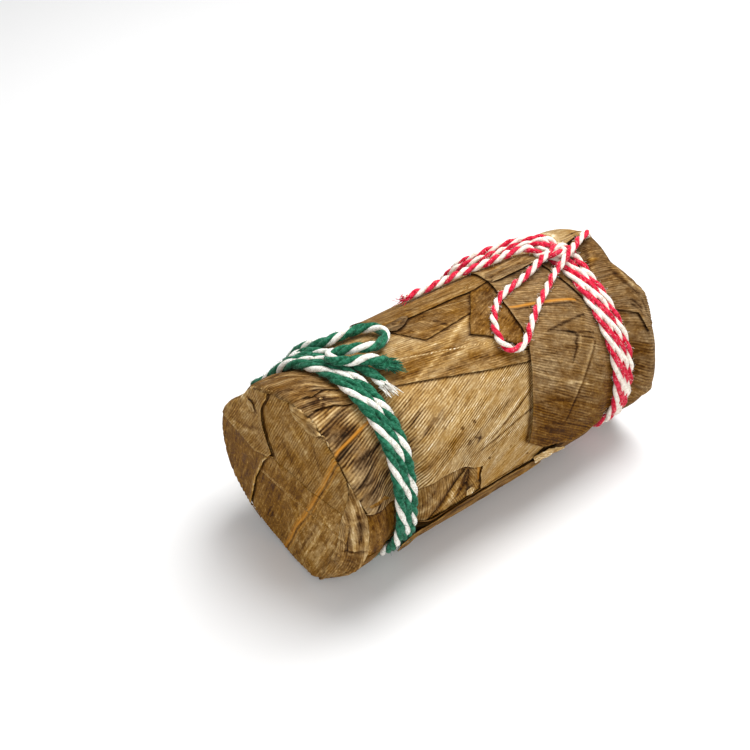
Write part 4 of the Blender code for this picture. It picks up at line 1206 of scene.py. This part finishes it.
@dataclass
class BackLeaves(LeafGroup):
    """The leaves round the back, plainer, with seeded creases and stains."""

    seed: int = 70

    def creases(self, seed: int, low: tuple[float, float], high: tuple[float, float]) -> tuple[Stroke, ...]:
        """Draw a few long creases within a stretch of the side."""
        source = np.random.default_rng(seed)
        marks = []
        for index in range(14):
            x, angle = source.uniform(low, high)
            reach, rise = source.uniform(8, 26), source.uniform(-5, 5)
            tone = 0.18 if index % 2 else -0.3
            line = ((x - reach / 2, angle - rise), (x, angle + rise * 0.2), (x + reach / 2, angle + rise))
            marks.append(Stroke(line, 0.45, tone, 0.2 * tone))
        return tuple(marks)

    def stains(self, seed: int, low: tuple[float, float], high: tuple[float, float]) -> tuple[Patch, ...]:
        """Draw a few broad stains within a stretch of the side."""
        source = np.random.default_rng(seed)
        return tuple(Patch(tuple(source.uniform(low, high)), (source.uniform(5, 12), source.uniform(2, 5)),
                           source.uniform(-0.16, 0.12), source.uniform(-0.3, 0.3)) for _ in range(8))

    def sheets(self) -> list[LeafSheet]:
        """Return the back's leaves."""
        spans = (
            ("low_back_leaf", 0.2, 3.0, 0.42, "leaf_grey_brown",
             ((-60.5, -150), (-60.5, -112), (-26, -112), (20, -120), (63, -98), (63, -150))),
            ("near_back_leaf", 0.55, -8.0, 0.46, "leaf_olive",
             ((-60.5, -124), (-60.5, -22), (-42, -20), (-18, -22), (-18, -75), (-24, -124))),
            ("back_leaf", 0.95, 12.0, 0.58, "leaf_tan",
             ((-26, -124), (-22, -98), (-20.5, -70), (24, -68), (63, -70), (63, -108), (20, -130))))
        made = []
        for seed, (name, level, vein, tone, slot, outline) in enumerate(spans, self.seed):
            low, high = tuple(np.min(outline, 0)), tuple(np.max(outline, 0))
            made.append(LeafSheet(
                name, outline, level, vein, tone, seed=seed, slot=slot, nodes=(name,), cell=(1.5, 0.8),
                lift=0.3, strokes=self.creases(seed, low, high), patches=self.stains(seed + 10, low, high)))
        return made


@dataclass
class FarEndLeaves(LeafGroup):
    """The pleats folded over one another that close the far end."""

    pleats: int = 6
    turn: float = 20.0
    spread: tuple[float, float] = (44.0, 38.0)
    middle_z: float = 34.0
    seed: int = 80

    def spot(self, angle: float, radius: float) -> tuple[float, float]:
        """Return a place on the end, in y and z, at an angle and a distance from its middle."""
        turn = math.radians(angle)
        return (-radius * math.sin(turn), self.middle_z + radius * math.cos(turn))

    def sheets(self) -> list[LeafSheet]:
        """Return the pleats, each a wedge from the middle to the rim."""
        made = []
        source = np.random.default_rng(self.seed)
        for index in range(self.pleats):
            middle = self.turn + 360.0 * index / self.pleats + source.uniform(-6, 6)
            inner, tip = self.spot(middle, 5.0), self.spot(middle, -7.0)
            arc = [self.spot(angle, 40.0)
                   for angle in np.linspace(middle + self.spread[1], middle - self.spread[0], 9)]
            rays = tuple(Stroke((inner, self.spot(middle + off, 32.0)), 0.5, tone, tone)
                         for off, tone in ((-20, -0.25), (-5, 0.2), (14, -0.2), (26, 0.16)))
            made.append(LeafSheet(
                f"far_end_pleat_{index + 1}", (tip, *arc) if index % 2 else (inner, tip, *arc),
                0.05 + 0.16 * index, middle + 90.0, 0.44 + 0.05 * (index % 3), 0.4 + 0.15 * (index % 2),
                self.seed + 1 + index, chart=Chart.FAR_END, slot="leaf_grey_brown", strokes=rays,
                cell=(1.4, 0.8), lift=0.25, crumple=0.12, crumple_size=9.0))
        return made


# ---- twines -------------------------------------------------------------------------------------
FIBRE = "fibre"               # where a ply's surface is across and along the ply, for its cotton
SPOT, RUN = "spot", "run"     # the two parts of that place, on the profile and on the guide
NARROW, TURNS = "narrow", "turns"    # a guide's girth, and how far its plies have twisted


@dataclass(frozen=True)
class CottonFinish:
    """Soft dyed cotton yarn: matt, with fine fibres that spiral along the ply."""

    name: str
    colour: str
    shade: str
    pale: str

    def build(self) -> bpy.types.Material:
        """Build the material once and return it from then on."""
        known = bpy.data.materials.get(self.name)
        if known:
            return known
        material, tree, shader = new_material(self.name)
        layer = add_node(tree, "ShaderNodeAttribute", attribute_name=FIBRE)
        stretched = add_node(tree, "ShaderNodeMapping", {
            "Vector": layer.outputs["Vector"], "Scale": (2.6, 2.6, 0.55)})
        fibres = add_node(tree, "ShaderNodeTexNoise", {
            "Vector": stretched, "Scale": 1.6, "Detail": 3.0, "Roughness": 0.7})
        place = add_node(tree, "ShaderNodeTexCoord")
        fluff = add_node(tree, "ShaderNodeTexNoise", {
            "Vector": place.outputs["Object"], "Scale": 1.0 / (1.1 * MM), "Detail": 3.0, "Roughness": 0.6})
        both = add_node(tree, "ShaderNodeMath", {0: fibres, 1: 0.65, 2: fluff}, operation="MULTIPLY_ADD")
        ramp = add_node(tree, "ShaderNodeValToRGB", {0: both})
        fill_ramp(ramp, ((0.56, self.shade), (0.78, self.colour), (1.0, self.pale)))
        bump = add_node(tree, "ShaderNodeBump", {"Height": both, "Strength": 0.8, "Distance": 0.3 * MM})
        tree.links.new(ramp.outputs[0], shader.inputs["Base Color"])
        tree.links.new(bump.outputs[0], shader.inputs["Normal"])
        for socket, value in (("Roughness", 0.95), ("Specular IOR Level", 0.08), ("Sheen Weight", 0.12),
                              ("Sheen Roughness", 0.5)):
            shader.inputs[socket].default_value = value
        return material


GREEN_COTTON = CottonFinish("cotton_yarn_green", "#175c3f", "#083522", "#3c8468")
GREEN_WHITE = CottonFinish("cotton_yarn_white", "#efeadf", "#b3ab9a", "#fdfbf6")
RED_COTTON = CottonFinish("cotton_yarn_crimson", "#cc0f30", "#8a0820", "#e2405c")
RED_WHITE = CottonFinish("cotton_yarn_cream", "#f2e8da", "#c4ab98", "#fdf8ee")


@dataclass(frozen=True)
class Ply:
    """One of a twine's twisted yarns."""

    finish: CottonFinish
    thickness: float
    offset: float


def geometry_tree(name: str, inputs: dict[str, float]
                  ) -> tuple[bpy.types.NodeTree, bpy.types.Node, bpy.types.Node]:
    """Start a Geometry Nodes tree with a geometry input, named number inputs and a geometry output."""
    tree = bpy.data.node_groups.new(name, "GeometryNodeTree")
    tree.interface.new_socket("Geometry", in_out="INPUT", socket_type="NodeSocketGeometry")
    for label, value in inputs.items():
        socket = tree.interface.new_socket(label, in_out="INPUT", socket_type="NodeSocketFloat")
        socket.default_value = value
    tree.interface.new_socket("Geometry", in_out="OUTPUT", socket_type="NodeSocketGeometry")
    return tree, tree.nodes.new("NodeGroupInput"), tree.nodes.new("NodeGroupOutput")


def run_tree(name: str, mesh: bpy.types.Mesh, tree: bpy.types.NodeTree,
             sizes: dict[str, float]) -> bpy.types.Object:
    """Evaluate a tree on a mesh and return the result as a plain mesh object.

    Args:
        name: the new object's name.
        mesh: what the tree starts from.
        tree: the Geometry Nodes tree.
        sizes: the tree's number inputs by name.

    Returns:
        The finished object, its modifier gone.
    """
    source = bpy.data.objects.new(name + "_guide", mesh)
    bpy.context.scene.collection.objects.link(source)
    modifier = source.modifiers.new("build", "NODES")
    modifier.node_group = tree
    for item in tree.interface.items_tree:
        if item.in_out == "INPUT" and item.name in sizes:
            modifier[item.identifier] = float(sizes[item.name])
    source.update_tag()
    bpy.context.view_layer.update()
    graph = bpy.context.evaluated_depsgraph_get()
    made = bpy.data.meshes.new_from_object(
        source.evaluated_get(graph), preserve_all_data_layers=True, depsgraph=graph)
    made.name = name
    bpy.data.objects.remove(source)
    bpy.data.meshes.remove(mesh)
    piece = bpy.data.objects.new(name, made)
    bpy.context.scene.collection.objects.link(piece)
    return piece


@dataclass
class TwistTree:
    """Twists a tree of plies round a guide line."""

    name: str
    plies: tuple[Ply, ...]
    sides: int = 10

    def build(self) -> bpy.types.NodeTree:
        """Build the tree: each ply is offset round the guide, swept and given its cotton."""
        tree, source, sink = geometry_tree(self.name, {"Girth": 0.001, "Yarn Lay": 0.004})
        curve = add_node(tree, "GeometryNodeMeshToCurve", {"Mesh": source.outputs["Geometry"]})
        run = add_node(tree, "GeometryNodeSplineParameter")
        length = run.outputs["Length"]
        turns = add_node(tree, "GeometryNodeInputNamedAttribute", {"Name": TURNS}, data_type="FLOAT")
        yarn = add_node(tree, "ShaderNodeMath", {
            0: length, 1: source.outputs["Yarn Lay"]}, operation="DIVIDE")
        tilt = add_node(tree, "ShaderNodeMath", {0: yarn, 1: -math.tau}, operation="MULTIPLY")
        normal = add_node(tree, "GeometryNodeInputNormal")
        tangent = add_node(tree, "GeometryNodeInputTangent")
        side = add_node(tree, "ShaderNodeVectorMath", {0: tangent, 1: normal}, operation="CROSS_PRODUCT")
        narrow = add_node(tree, "GeometryNodeInputNamedAttribute", {"Name": NARROW}, data_type="FLOAT")
        millimetres = add_node(tree, "ShaderNodeMath", {0: length, 1: 1.0 / MM}, operation="MULTIPLY")
        joined = add_node(tree, "GeometryNodeJoinGeometry")
        for index, ply in enumerate(self.plies):
            phase = add_node(tree, "ShaderNodeMath", {0: turns, 1: index / len(self.plies)}, operation="ADD")
            turn = add_node(tree, "ShaderNodeMath", {0: phase, 1: math.tau}, operation="MULTIPLY")
            parts = []
            for operation, axis in (("COSINE", normal), ("SINE", side)):
                share = add_node(tree, "ShaderNodeMath", {0: turn}, operation=operation)
                parts.append(add_node(tree, "ShaderNodeVectorMath", {
                    0: axis, "Scale": share}, operation="SCALE"))
            around = add_node(tree, "ShaderNodeVectorMath", {0: parts[0], 1: parts[1]})
            girth = add_node(tree, "ShaderNodeMath", {
                0: source.outputs["Girth"], 1: narrow}, operation="MULTIPLY")
            reach = add_node(tree, "ShaderNodeMath", {0: girth, 1: ply.offset}, operation="MULTIPLY")
            offset = add_node(tree, "ShaderNodeVectorMath", {0: around, "Scale": reach}, operation="SCALE")
            moved = add_node(tree, "GeometryNodeSetPosition", {"Geometry": curve, "Offset": offset})
            tilted = add_node(tree, "GeometryNodeSetCurveTilt", {"Curve": moved, "Tilt": tilt})
            thick = add_node(tree, "ShaderNodeMath", {0: girth, 1: ply.thickness}, operation="MULTIPLY")
            kept = add_node(tree, "GeometryNodeStoreNamedAttribute", {
                "Geometry": tilted, "Name": RUN, "Value": millimetres}, data_type="FLOAT", domain="POINT")
            circle = add_node(tree, "GeometryNodeCurvePrimitiveCircle", {
                "Resolution": self.sides, "Radius": 1.0})
            spot = add_node(tree, "GeometryNodeInputPosition")
            marked = add_node(tree, "GeometryNodeStoreNamedAttribute", {
                "Geometry": circle, "Name": SPOT, "Value": spot}, data_type="FLOAT_VECTOR", domain="POINT")
            swept = add_node(tree, "GeometryNodeCurveToMesh", {
                "Curve": kept, "Profile Curve": marked, "Scale": thick, "Fill Caps": True})
            spot_read = add_node(tree, "GeometryNodeInputNamedAttribute", {
                "Name": SPOT}, data_type="FLOAT_VECTOR")
            run_read = add_node(tree, "GeometryNodeInputNamedAttribute", {"Name": RUN}, data_type="FLOAT")
            axes = add_node(tree, "ShaderNodeSeparateXYZ", {0: spot_read})
            fibre = add_node(tree, "ShaderNodeCombineXYZ", {0: axes, 1: axes.outputs[1], 2: run_read})
            stored = add_node(tree, "GeometryNodeStoreNamedAttribute", {
                "Geometry": swept, "Name": FIBRE, "Value": fibre}, data_type="FLOAT_VECTOR", domain="POINT")
            finished = add_node(tree, "GeometryNodeSetMaterial", {
                "Geometry": stored, "Material": ply.finish.build()})
            tree.links.new(finished.outputs[0], joined.inputs[0])
        smooth = add_node(tree, "GeometryNodeSetShadeSmooth", {"Geometry": joined})
        realised = add_node(tree, "GeometryNodeRealizeInstances", {0: smooth})
        tree.links.new(realised.outputs[0], sink.inputs[0])
        return tree


@dataclass
class FuzzTree:
    """Scatters fine loose fibres over a twine."""

    name: str
    finish: CottonFinish
    seed: int

    def build(self) -> bpy.types.NodeTree:
        """Build the tree: seeded points on the faces, each with a short bent fibre."""
        tree, source, sink = geometry_tree(self.name, {"Density": 1e6, "Length": 0.001, "Thickness": 0.00004})
        points = add_node(tree, "GeometryNodeDistributePointsOnFaces", {
            "Mesh": source.outputs["Geometry"], "Density": source.outputs["Density"], "Seed": self.seed})
        arc = add_node(tree, "GeometryNodeCurveQuadraticBezier", {
            "Resolution": 3, "Start": (0.0, 0.0, 0.0), "Middle": (0.1, 0.0, 0.7), "End": (0.6, 0.0, 0.9)})
        profile = add_node(tree, "GeometryNodeCurvePrimitiveCircle", {"Resolution": 3, "Radius": 1.0})
        relative = add_node(tree, "ShaderNodeMath", {
            0: source.outputs["Thickness"], 1: source.outputs["Length"]}, operation="DIVIDE")
        fibre = add_node(tree, "GeometryNodeCurveToMesh", {
            "Curve": arc, "Profile Curve": profile, "Scale": relative})
        spin = add_node(tree, "FunctionNodeRandomValue", {
            0: (-0.9, -0.9, -3.1), 1: (0.9, 0.9, 3.1), "Seed": self.seed + 1}, data_type="FLOAT_VECTOR")
        turned = add_node(tree, "FunctionNodeRotateEuler", {
            "Rotation": points.outputs["Rotation"], "Rotate By": spin}, space="LOCAL")
        size = add_node(tree, "FunctionNodeRandomValue", {
            2: 0.4, 3: 1.2, "Seed": self.seed + 2}, data_type="FLOAT")
        scale = add_node(tree, "ShaderNodeMath", {
            0: size.outputs[1], 1: source.outputs["Length"]}, operation="MULTIPLY")
        placed = add_node(tree, "GeometryNodeInstanceOnPoints", {
            "Points": points.outputs["Points"], "Instance": fibre, "Rotation": turned, "Scale": scale})
        realised = add_node(tree, "GeometryNodeRealizeInstances", {0: placed})
        finished = add_node(tree, "GeometryNodeSetMaterial", {
            "Geometry": realised, "Material": self.finish.build()})
        tree.links.new(finished.outputs[0], sink.inputs[0])
        return tree


Route = tuple[tuple[float, float, float], ...]


@dataclass
class Tie:
    """One twine: a head, a band of turns and a tail, twisted from its plies."""

    name: str
    slot: str
    plies: tuple[Ply, ...]
    fuzz: CottonFinish
    radius: float
    free_lay: float
    band_lay: float
    turns: int
    shift: float
    start_x: float
    leans: bool
    head: Route
    tail: Route
    rest: float
    stack: float
    frays: tuple[int, int]
    seed: int
    step: float = 0.6
    fuzz_density: float = 0.55
    fray_spread: float = 0.34
    fray_girth: float = 0.14
    fray_length: tuple[float, float] = (1.2, 3.2)
    over_top: float = 0.0
    tucked: float = 0.0
    band_run: tuple[float, float] = (0.0, 0.0)
    pinches: tuple[tuple[float, float, float, float], ...] = ()
    fray_yarns: tuple[CottonFinish, ...] = ()
    fray_back: tuple[float, float] = (1.4, 1.4)
    swollen: float = 0.0
    band_gap: float = 8.0         # degrees between the band's own places and the knot's
    band_step: float = 10.0       # degrees between the band's places
    table_gap: float = 1.36       # the least height of the centre line, in radii
    relaxing: int = 6             # how often the finished line is smoothed
    knot_lift: float = 0.35       # how far a strand that spans a waist stays off the skin
    cut_length: int = 6           # places over which a cut end's direction is taken
    yarn_lay: float = 5.0

    def route(self, form: ParcelForm) -> Points:
        """Return the twine's centre line in millimetres."""
        direction = 1 if self.turns > 0 else -1
        total = 360.0 * self.turns
        first = direction * self.head[-1][1] + self.band_gap
        last = abs(total) + direction * self.tail[0][1] - self.band_gap
        first = math.ceil(first / self.band_step) * self.band_step
        angles = direction * np.arange(first, last, self.band_step)
        lean = form.lean(angles) if self.leans else np.zeros(len(angles))
        across = self.start_x + self.shift * angles / 360.0
        middle = self.start_x + 0.5 * self.shift * self.turns
        for at_angle, spread, pull, squeeze in self.pinches:
            near = hill(wrapped(angles - at_angle) / spread)
            across = middle + (across - middle) * (1.0 - squeeze * near) + pull * near
        band = np.column_stack([across + lean, angles, np.zeros(len(angles))])
        places = np.vstack([self.head, band, np.array(self.tail) + [0.0, total, 0.0]])
        spaced = places * [1.0, ARC, 3.0]
        run = np.concatenate(([0.0], np.cumsum(np.linalg.norm(np.diff(spaced, axis=0), axis=1) ** 0.5)))
        fine = np.linspace(0.0, run[-1], len(places) * 24)
        smooth = np.column_stack([self.spline(run, places[:, axis], fine) for axis in range(3)])
        height = self.rest + self.radius + smooth[:, 2] * self.stack * 2.0 * self.radius
        loose = np.ones(len(places))
        loose[len(self.head):len(self.head) + len(band)] = 0.0
        loose = np.interp(fine, run, loose)
        height -= self.rest * (1.0 - loose) * hill(wrapped(smooth[:, 1] - 180.0) / 20.0)
        level = wrapped(smooth[:, 1])
        under_leaf = smooth_step((-8.0 - level) / 8.0) * smooth_step((level + 80.0) / 6.0)
        height -= self.tucked * (1.0 - loose) * under_leaf
        raised = loose * smooth_step((-6.0 - level) / 8.0) * self.over_top
        height += raised * (form.waist(smooth[:, 0], smooth[:, 1]) + self.knot_lift)
        points = form.cylinder(smooth[:, 0], smooth[:, 1], height)
        points = self.even(points, self.step)
        for _ in range(self.relaxing):
            points[1:-1] += 0.25 * (points[:-2] + points[2:] - 2.0 * points[1:-1])
        points[:, 2] = np.maximum(points[:, 2], self.table_gap * self.radius)
        free = np.nonzero(loose < 0.5)[0]
        rough = form.cylinder(smooth[:, 0], smooth[:, 1], height)
        share = np.cumsum(np.linalg.norm(np.diff(rough, axis=0), axis=1))
        self.band_run = (float(share[free[0]]), float(share[free[-1] - 1]))
        return self.even(points, self.step)

    @staticmethod
    def spline(run: Points, values: Points, at: Points) -> Points:
        """Return values on a smooth line through its knots."""
        slopes = np.gradient(values, run)
        index = np.clip(np.searchsorted(run, at, "right") - 1, 0, len(run) - 2)
        width = run[index + 1] - run[index]
        t = (at - run[index]) / width
        return ((2 * t ** 3 - 3 * t ** 2 + 1) * values[index]
                + (t ** 3 - 2 * t ** 2 + t) * width * slopes[index]
                + (3 * t ** 2 - 2 * t ** 3) * values[index + 1]
                + (t ** 3 - t ** 2) * width * slopes[index + 1])

    @staticmethod
    def even(points: Points, step: float) -> Points:
        """Return a line's points spaced evenly."""
        run = np.concatenate(([0.0], np.cumsum(np.linalg.norm(np.diff(points, axis=0), axis=1))))
        stations = np.linspace(0.0, run[-1], int(run[-1] / step) + 1)
        return np.column_stack([np.interp(stations, run, points[:, axis]) for axis in range(3)])

    def guide(self, name: str, lines: list[Points], narrow: list[Points],
              turns: list[Points]) -> bpy.types.Mesh:
        """Make a mesh of lines that carries each point's narrowing and how far it has twisted."""
        points = np.vstack(lines) * MM
        edges, start = [], 0
        for line in lines:
            edges += [(start + index, start + index + 1) for index in range(len(line) - 1)]
            start += len(line)
        mesh = bpy.data.meshes.new(name)
        mesh.from_pydata(points.tolist(), edges, [])
        for label, values in ((NARROW, narrow), (TURNS, turns)):
            layer = mesh.attributes.new(label, "FLOAT", "POINT")
            layer.data.foreach_set("value", np.concatenate(values).astype(np.float32))
        return mesh

    def brushes(self, line: Points) -> list[list[Points]]:
        """Return the loose yarns that flare from the cut ends."""
        source = np.random.default_rng(self.seed)
        made = []
        inside_ends = ((line[0], line[self.cut_length]), (line[-1], line[-1 - self.cut_length]))
        for part, (tip, inner) in enumerate(inside_ends):
            onward = (tip - inner) / np.linalg.norm(tip - inner)
            made.append([])
            for _ in range(self.frays[part]):
                start = tip - onward * source.uniform(0.2, self.fray_back[part])
                start += source.normal(0.0, 0.46 * self.radius, 3)
                lean = source.normal(0.0, self.fray_spread, 3)
                length = source.uniform(*self.fray_length)
                bend = source.normal(0.0, 0.5, 3)
                stations = np.linspace(0.0, 1.0, 6)[:, None]
                strand = start + (onward + lean) * length * stations + bend * stations ** 2
                strand[:, 2] = np.maximum(strand[:, 2], 0.3)
                made[part].append(strand)
        return made

    def build(self, form: ParcelForm) -> None:
        """Build the twine, its loose fibres and its frayed ends."""
        line = self.route(form)
        ends = np.minimum(np.arange(len(line)), np.arange(len(line))[::-1]) * self.step
        wobble = Grain(self.seed).layered(np.arange(len(line)) * self.step / 7.0, np.zeros(len(line)), 2)
        narrow = (0.82 + 0.18 * smooth_step(ends / 3.0)) * (1.0 + 0.07 * wobble)
        narrow *= 1.0 + self.swollen * smooth_step(1.0 - np.arange(len(line))[::-1] * self.step / 11.0)
        tree = TwistTree(self.name + "_twist", self.plies).build()
        sizes = {"Girth": self.radius * MM, "Yarn Lay": self.yarn_lay * MM}
        run = np.arange(len(line)) * self.step
        bound = smooth_step((run - self.band_run[0]) / 12.0) * smooth_step((self.band_run[1] - run) / 12.0)
        lay = self.free_lay + (self.band_lay - self.free_lay) * bound
        slow = Grain(self.seed + 1).layered(run / 45.0, np.zeros(len(line)), 2)
        turns = -np.cumsum(self.step / (lay * (1.0 + 0.12 * wobble + 0.10 * slow)))
        piece = run_tree(self.name, self.guide(self.name, [line], [narrow], [turns]), tree, sizes)
        fuzz_tree = FuzzTree(self.name + "_fuzz_scatter", self.fuzz, self.seed).build()
        sizes = {"Density": self.fuzz_density / MM ** 2, "Length": 0.9 * MM, "Thickness": 0.035 * MM}
        fuzz = run_tree(self.name + "_fuzz", piece.data.copy(), fuzz_tree, sizes)
        declare(piece, (self.name,))
        declare(fuzz, ())
        for part, yarns in enumerate(self.brushes(line)):
            one = Ply(self.fray_yarns[part], 1.0, 0.0)
            fray_tree = TwistTree(f"{self.name}_fray_{part}_sweep", (one,), 5).build()
            taper = [np.linspace(1.0, 0.35, len(yarn)) for yarn in yarns]
            sizes = {"Girth": self.fray_girth * MM, "Yarn Lay": 1.0}
            label = f"{self.name}_frayed_ends_{part + 1}"
            flat = [np.zeros(len(yarn)) for yarn in yarns]
            declare(run_tree(label, self.guide(label, yarns, taper, flat), fray_tree, sizes), ())


GREEN_TIE = Tie(
    "green_twine", "twine_green", (Ply(GREEN_COTTON, 0.58, 0.45), Ply(GREEN_COTTON, 0.58, 0.45),
                                   Ply(GREEN_WHITE, 0.58, 0.46)), GREEN_COTTON,
    radius=1.65, free_lay=13.0, band_lay=14.17, turns=-3, shift=2.6, start_x=-39.2, leans=True,
    head=((-36.3, 22.5, 0), (-36.9, 14.5, 0), (-38.2, 6.4, 0), (-39.6, -2, 0), (-40.8, -12, 0),
          (-42.2, -22, 0), (-43.6, -33, 0), (-44.6, -44, 0)),
    tail=((-52.4, -58, 0), (-53, -67, 0.25), (-51.5, -75, 0.75), (-47.5, -79, 0.95), (-43.2, -76, 0.8),
          (-41.2, -68, 0.35), (-41.4, -58, 0), (-41.3, -46, 0), (-40.5, -34, 0), (-39.4, -25, 0),
          (-37.4, -20, 0.05), (-34.4, -18, 0.1), (-31.2, -17.4, 0.1), (-27.8, -16, 0.1),
          (-24.4, -12.2, 0.1), (-23.2, -4.6, 0.1), (-25.4, 0.2, 0.15), (-29.6, 2.4, 0.3),
          (-33.6, 2.0, 0.65), (-37, -1.2, 1.0), (-40.4, -4.6, 1.2), (-43.6, -6.5, 1.25), (-45.2, -2.6, 1.3),
          (-42.8, 2.2, 1.3), (-39.6, 5.0, 1.15), (-36.6, 7.6, 0.85), (-33.9, 11.4, 0.4), (-31, 14.8, 0.15)),
    rest=1.0, stack=0.85, frays=(46, 210), seed=91, fray_spread=0.27, fray_girth=0.26, fray_length=(1.4, 4.2),
    fray_back=(1.0, 3.6), fray_yarns=(GREEN_WHITE, GREEN_COTTON), swollen=0.46,
    pinches=((0.0, 16.0, 0.0, 0.1), (36.0, 26.0, 1.4, 0.0), (100.0, 25.0, -1.2, 0.1)))
RED_TIE = Tie(
    "red_twine", "twine_red", (Ply(RED_COTTON, 0.60, 0.42), Ply(RED_WHITE, 0.57, 0.43)), RED_WHITE,
    radius=1.35, free_lay=7.7, band_lay=11.73, turns=4, shift=-2.25, start_x=53.6, leans=False,
    head=((65.2, -4.0, 0.4), (62.6, -2.6, 0.7), (58.4, -0.4, 1.2), (53.2, 3.0, 2.0), (48.4, 5.6, 1.7),
          (44, 8, 1.0), (37.7, 12.9, 0.3), (34.2, 15.9, 0.1), (29.2, 20.1, 0), (23.6, 25.5, 0),
          (19, 30.6, 0), (15.0, 35.4, 0), (12.0, 37.0, 0), (8.8, 36.3, 0), (6.8, 32.1, 0), (7.0, 26.9, 0),
          (8.8, 20.2, 0), (12.0, 14.5, 0), (16.5, 9.4, 0), (21, 6.6, 0), (26.5, 4.9, 0), (32.3, 3.4, 0.2),
          (39.5, 0.4, 0.7), (46.2, -3.2, 1.3), (50.6, -4.2, 1.5), (54.0, -1.5, 1.2), (54.6, 3.2, 0.4)),
    tail=((33, -60, 0.1), (29, -52, 0.4), (29.2, -43, 0.5), (32.5, -35.5, 0.6), (36.5, -31, 0.65),
          (40.5, -28, 0.65), (44.3, -25, 0.55), (47.6, -21, 0.4), (49.2, -16.8, 0.3), (50.2, -12.5, 0.25),
          (51, -8, 0.3), (51.4, -3.5, 0.8), (50.2, -1, 1.1), (48.8, -2.8, 0.8), (48.9, -7, 0.1),
          (47.9, -12.7, 0), (46, -18.4, 0), (43.3, -22.3, 0), (40, -25.8, 0), (36, -28.6, 0), (31, -33, 0),
          (27, -41, 0), (25.5, -51, 0), (26, -62, 0), (29, -70, 0.3), (33.5, -68, 0.4), (36, -58, 0.4),
          (38.5, -47, 0.3), (42, -37.5, 0.2), (46, -31, 0.15), (49.5, -26, 0.1), (51.6, -20, 0.1),
          (52.4, -14, 0.1), (52.8, -8, 0.3), (52.4, -3, 0.9), (50.8, 0.4, 1.5), (48.4, 1.2, 1.6),
          (46.8, -1.4, 1.3), (44.4, -6.2, 0.8), (42.7, -12.7, 0.4), (38.6, -16.1, 0.3), (32.7, -17.6, 0.25),
          (25.6, -20.5, 0.15), (18.8, -24.2, 0.1), (10, -27, 0), (2, -29, 0), (-3, -29.6, 0)),
    rest=1.15, stack=0.9, frays=(14, 26), seed=92, step=0.45, over_top=1.0, tucked=1.0,
    fray_yarns=(RED_WHITE, RED_COTTON), fray_spread=0.28,
    pinches=((4.0, 18.0, 0.9, 0.25), (112.0, 28.0, 1.6, 0.3)))


# ---- surroundings -------------------------------------------------------------------------------
@dataclass
class Studio:
    """A pale floor, soft lights and the camera."""

    camera_at: tuple[float, float, float] = (-266.8, -294.6, 383.2)
    camera_aim: tuple[float, float, float] = (14.0, 53.4, -0.4)
    lens: float = 76.8
    floor: str = "#f2f2f2"

    def light(self, name: str, place: tuple[float, float, float], width: float, power: float) -> None:
        """Add a square light that faces the object."""
        data = bpy.data.lights.new(name, "AREA")
        data.size = width * MM
        data.energy = power
        lamp = bpy.data.objects.new(name, data)
        lamp.location = Vector(place) * MM
        lamp.rotation_euler = (Vector((0.0, 0.0, 30.0)) - Vector(place)).to_track_quat("-Z", "Y").to_euler()
        bpy.context.scene.collection.objects.link(lamp)

    def build(self) -> None:
        """Make the floor, the lights, the sky and the camera."""
        mesh = bpy.data.meshes.new("floor")
        reach = 2.0
        mesh.from_pydata([(-reach, -reach, 0), (reach, -reach, 0), (reach, reach, 0), (-reach, reach, 0)], [],
                         [(0, 1, 2, 3)])
        paint, _, shader = new_material("matt_white_paper")
        shader.inputs["Base Color"].default_value = linear(self.floor)
        shader.inputs["Roughness"].default_value = 0.8
        mesh.materials.append(paint)
        floor = bpy.data.objects.new("floor", mesh)
        bpy.context.scene.collection.objects.link(floor)
        self.light("key_light", (150, 60, 520), 380, 3.6)
        self.light("fill_light", (-420, -380, 300), 500, 1.7)
        self.light("side_light", (420, -420, 260), 400, 0.8)
        world = bpy.data.worlds.new("studio")
        world.use_nodes = True
        sky = world.node_tree.nodes["Background"]
        sky.inputs["Color"].default_value = (1.0, 1.0, 1.0, 1.0)
        sky.inputs["Strength"].default_value = 0.30
        bpy.context.scene.world = world
        bpy.context.scene.view_settings.view_transform = "Standard"
        data = bpy.data.cameras.new("camera")
        data.lens = self.lens
        data.sensor_width = 36.0
        data.clip_start, data.clip_end = 0.01, 10.0
        camera = bpy.data.objects.new("camera", data)
        place, aim = Vector(self.camera_at) * MM, Vector(self.camera_aim) * MM
        camera.location = place
        camera.rotation_euler = (aim - place).to_track_quat("-Z", "Y").to_euler()
        bpy.context.scene.collection.objects.link(camera)
        bpy.context.scene.camera = camera


class Dumpling:
    """The whole dumpling: its inner wrap, its leaves and its two ties."""

    def build(self) -> None:
        """Build every piece."""
        form = ParcelForm()
        InnerWrap().build(form)
        for group in (FrontLeaves(), LowLeaves(), NearEndLeaves(), NearCorner(), BackLeaves(),
                      FarEndLeaves()):
            group.build(form)
        GREEN_TIE.build(form)
        RED_TIE.build(form)


def main() -> None:
    """Build the dumpling in its studio."""
    logging.basicConfig(level=logging.INFO, format="%(name)s %(message)s")
    Studio().build()
    Dumpling().build()


if __name__ == "__main__":
    main()
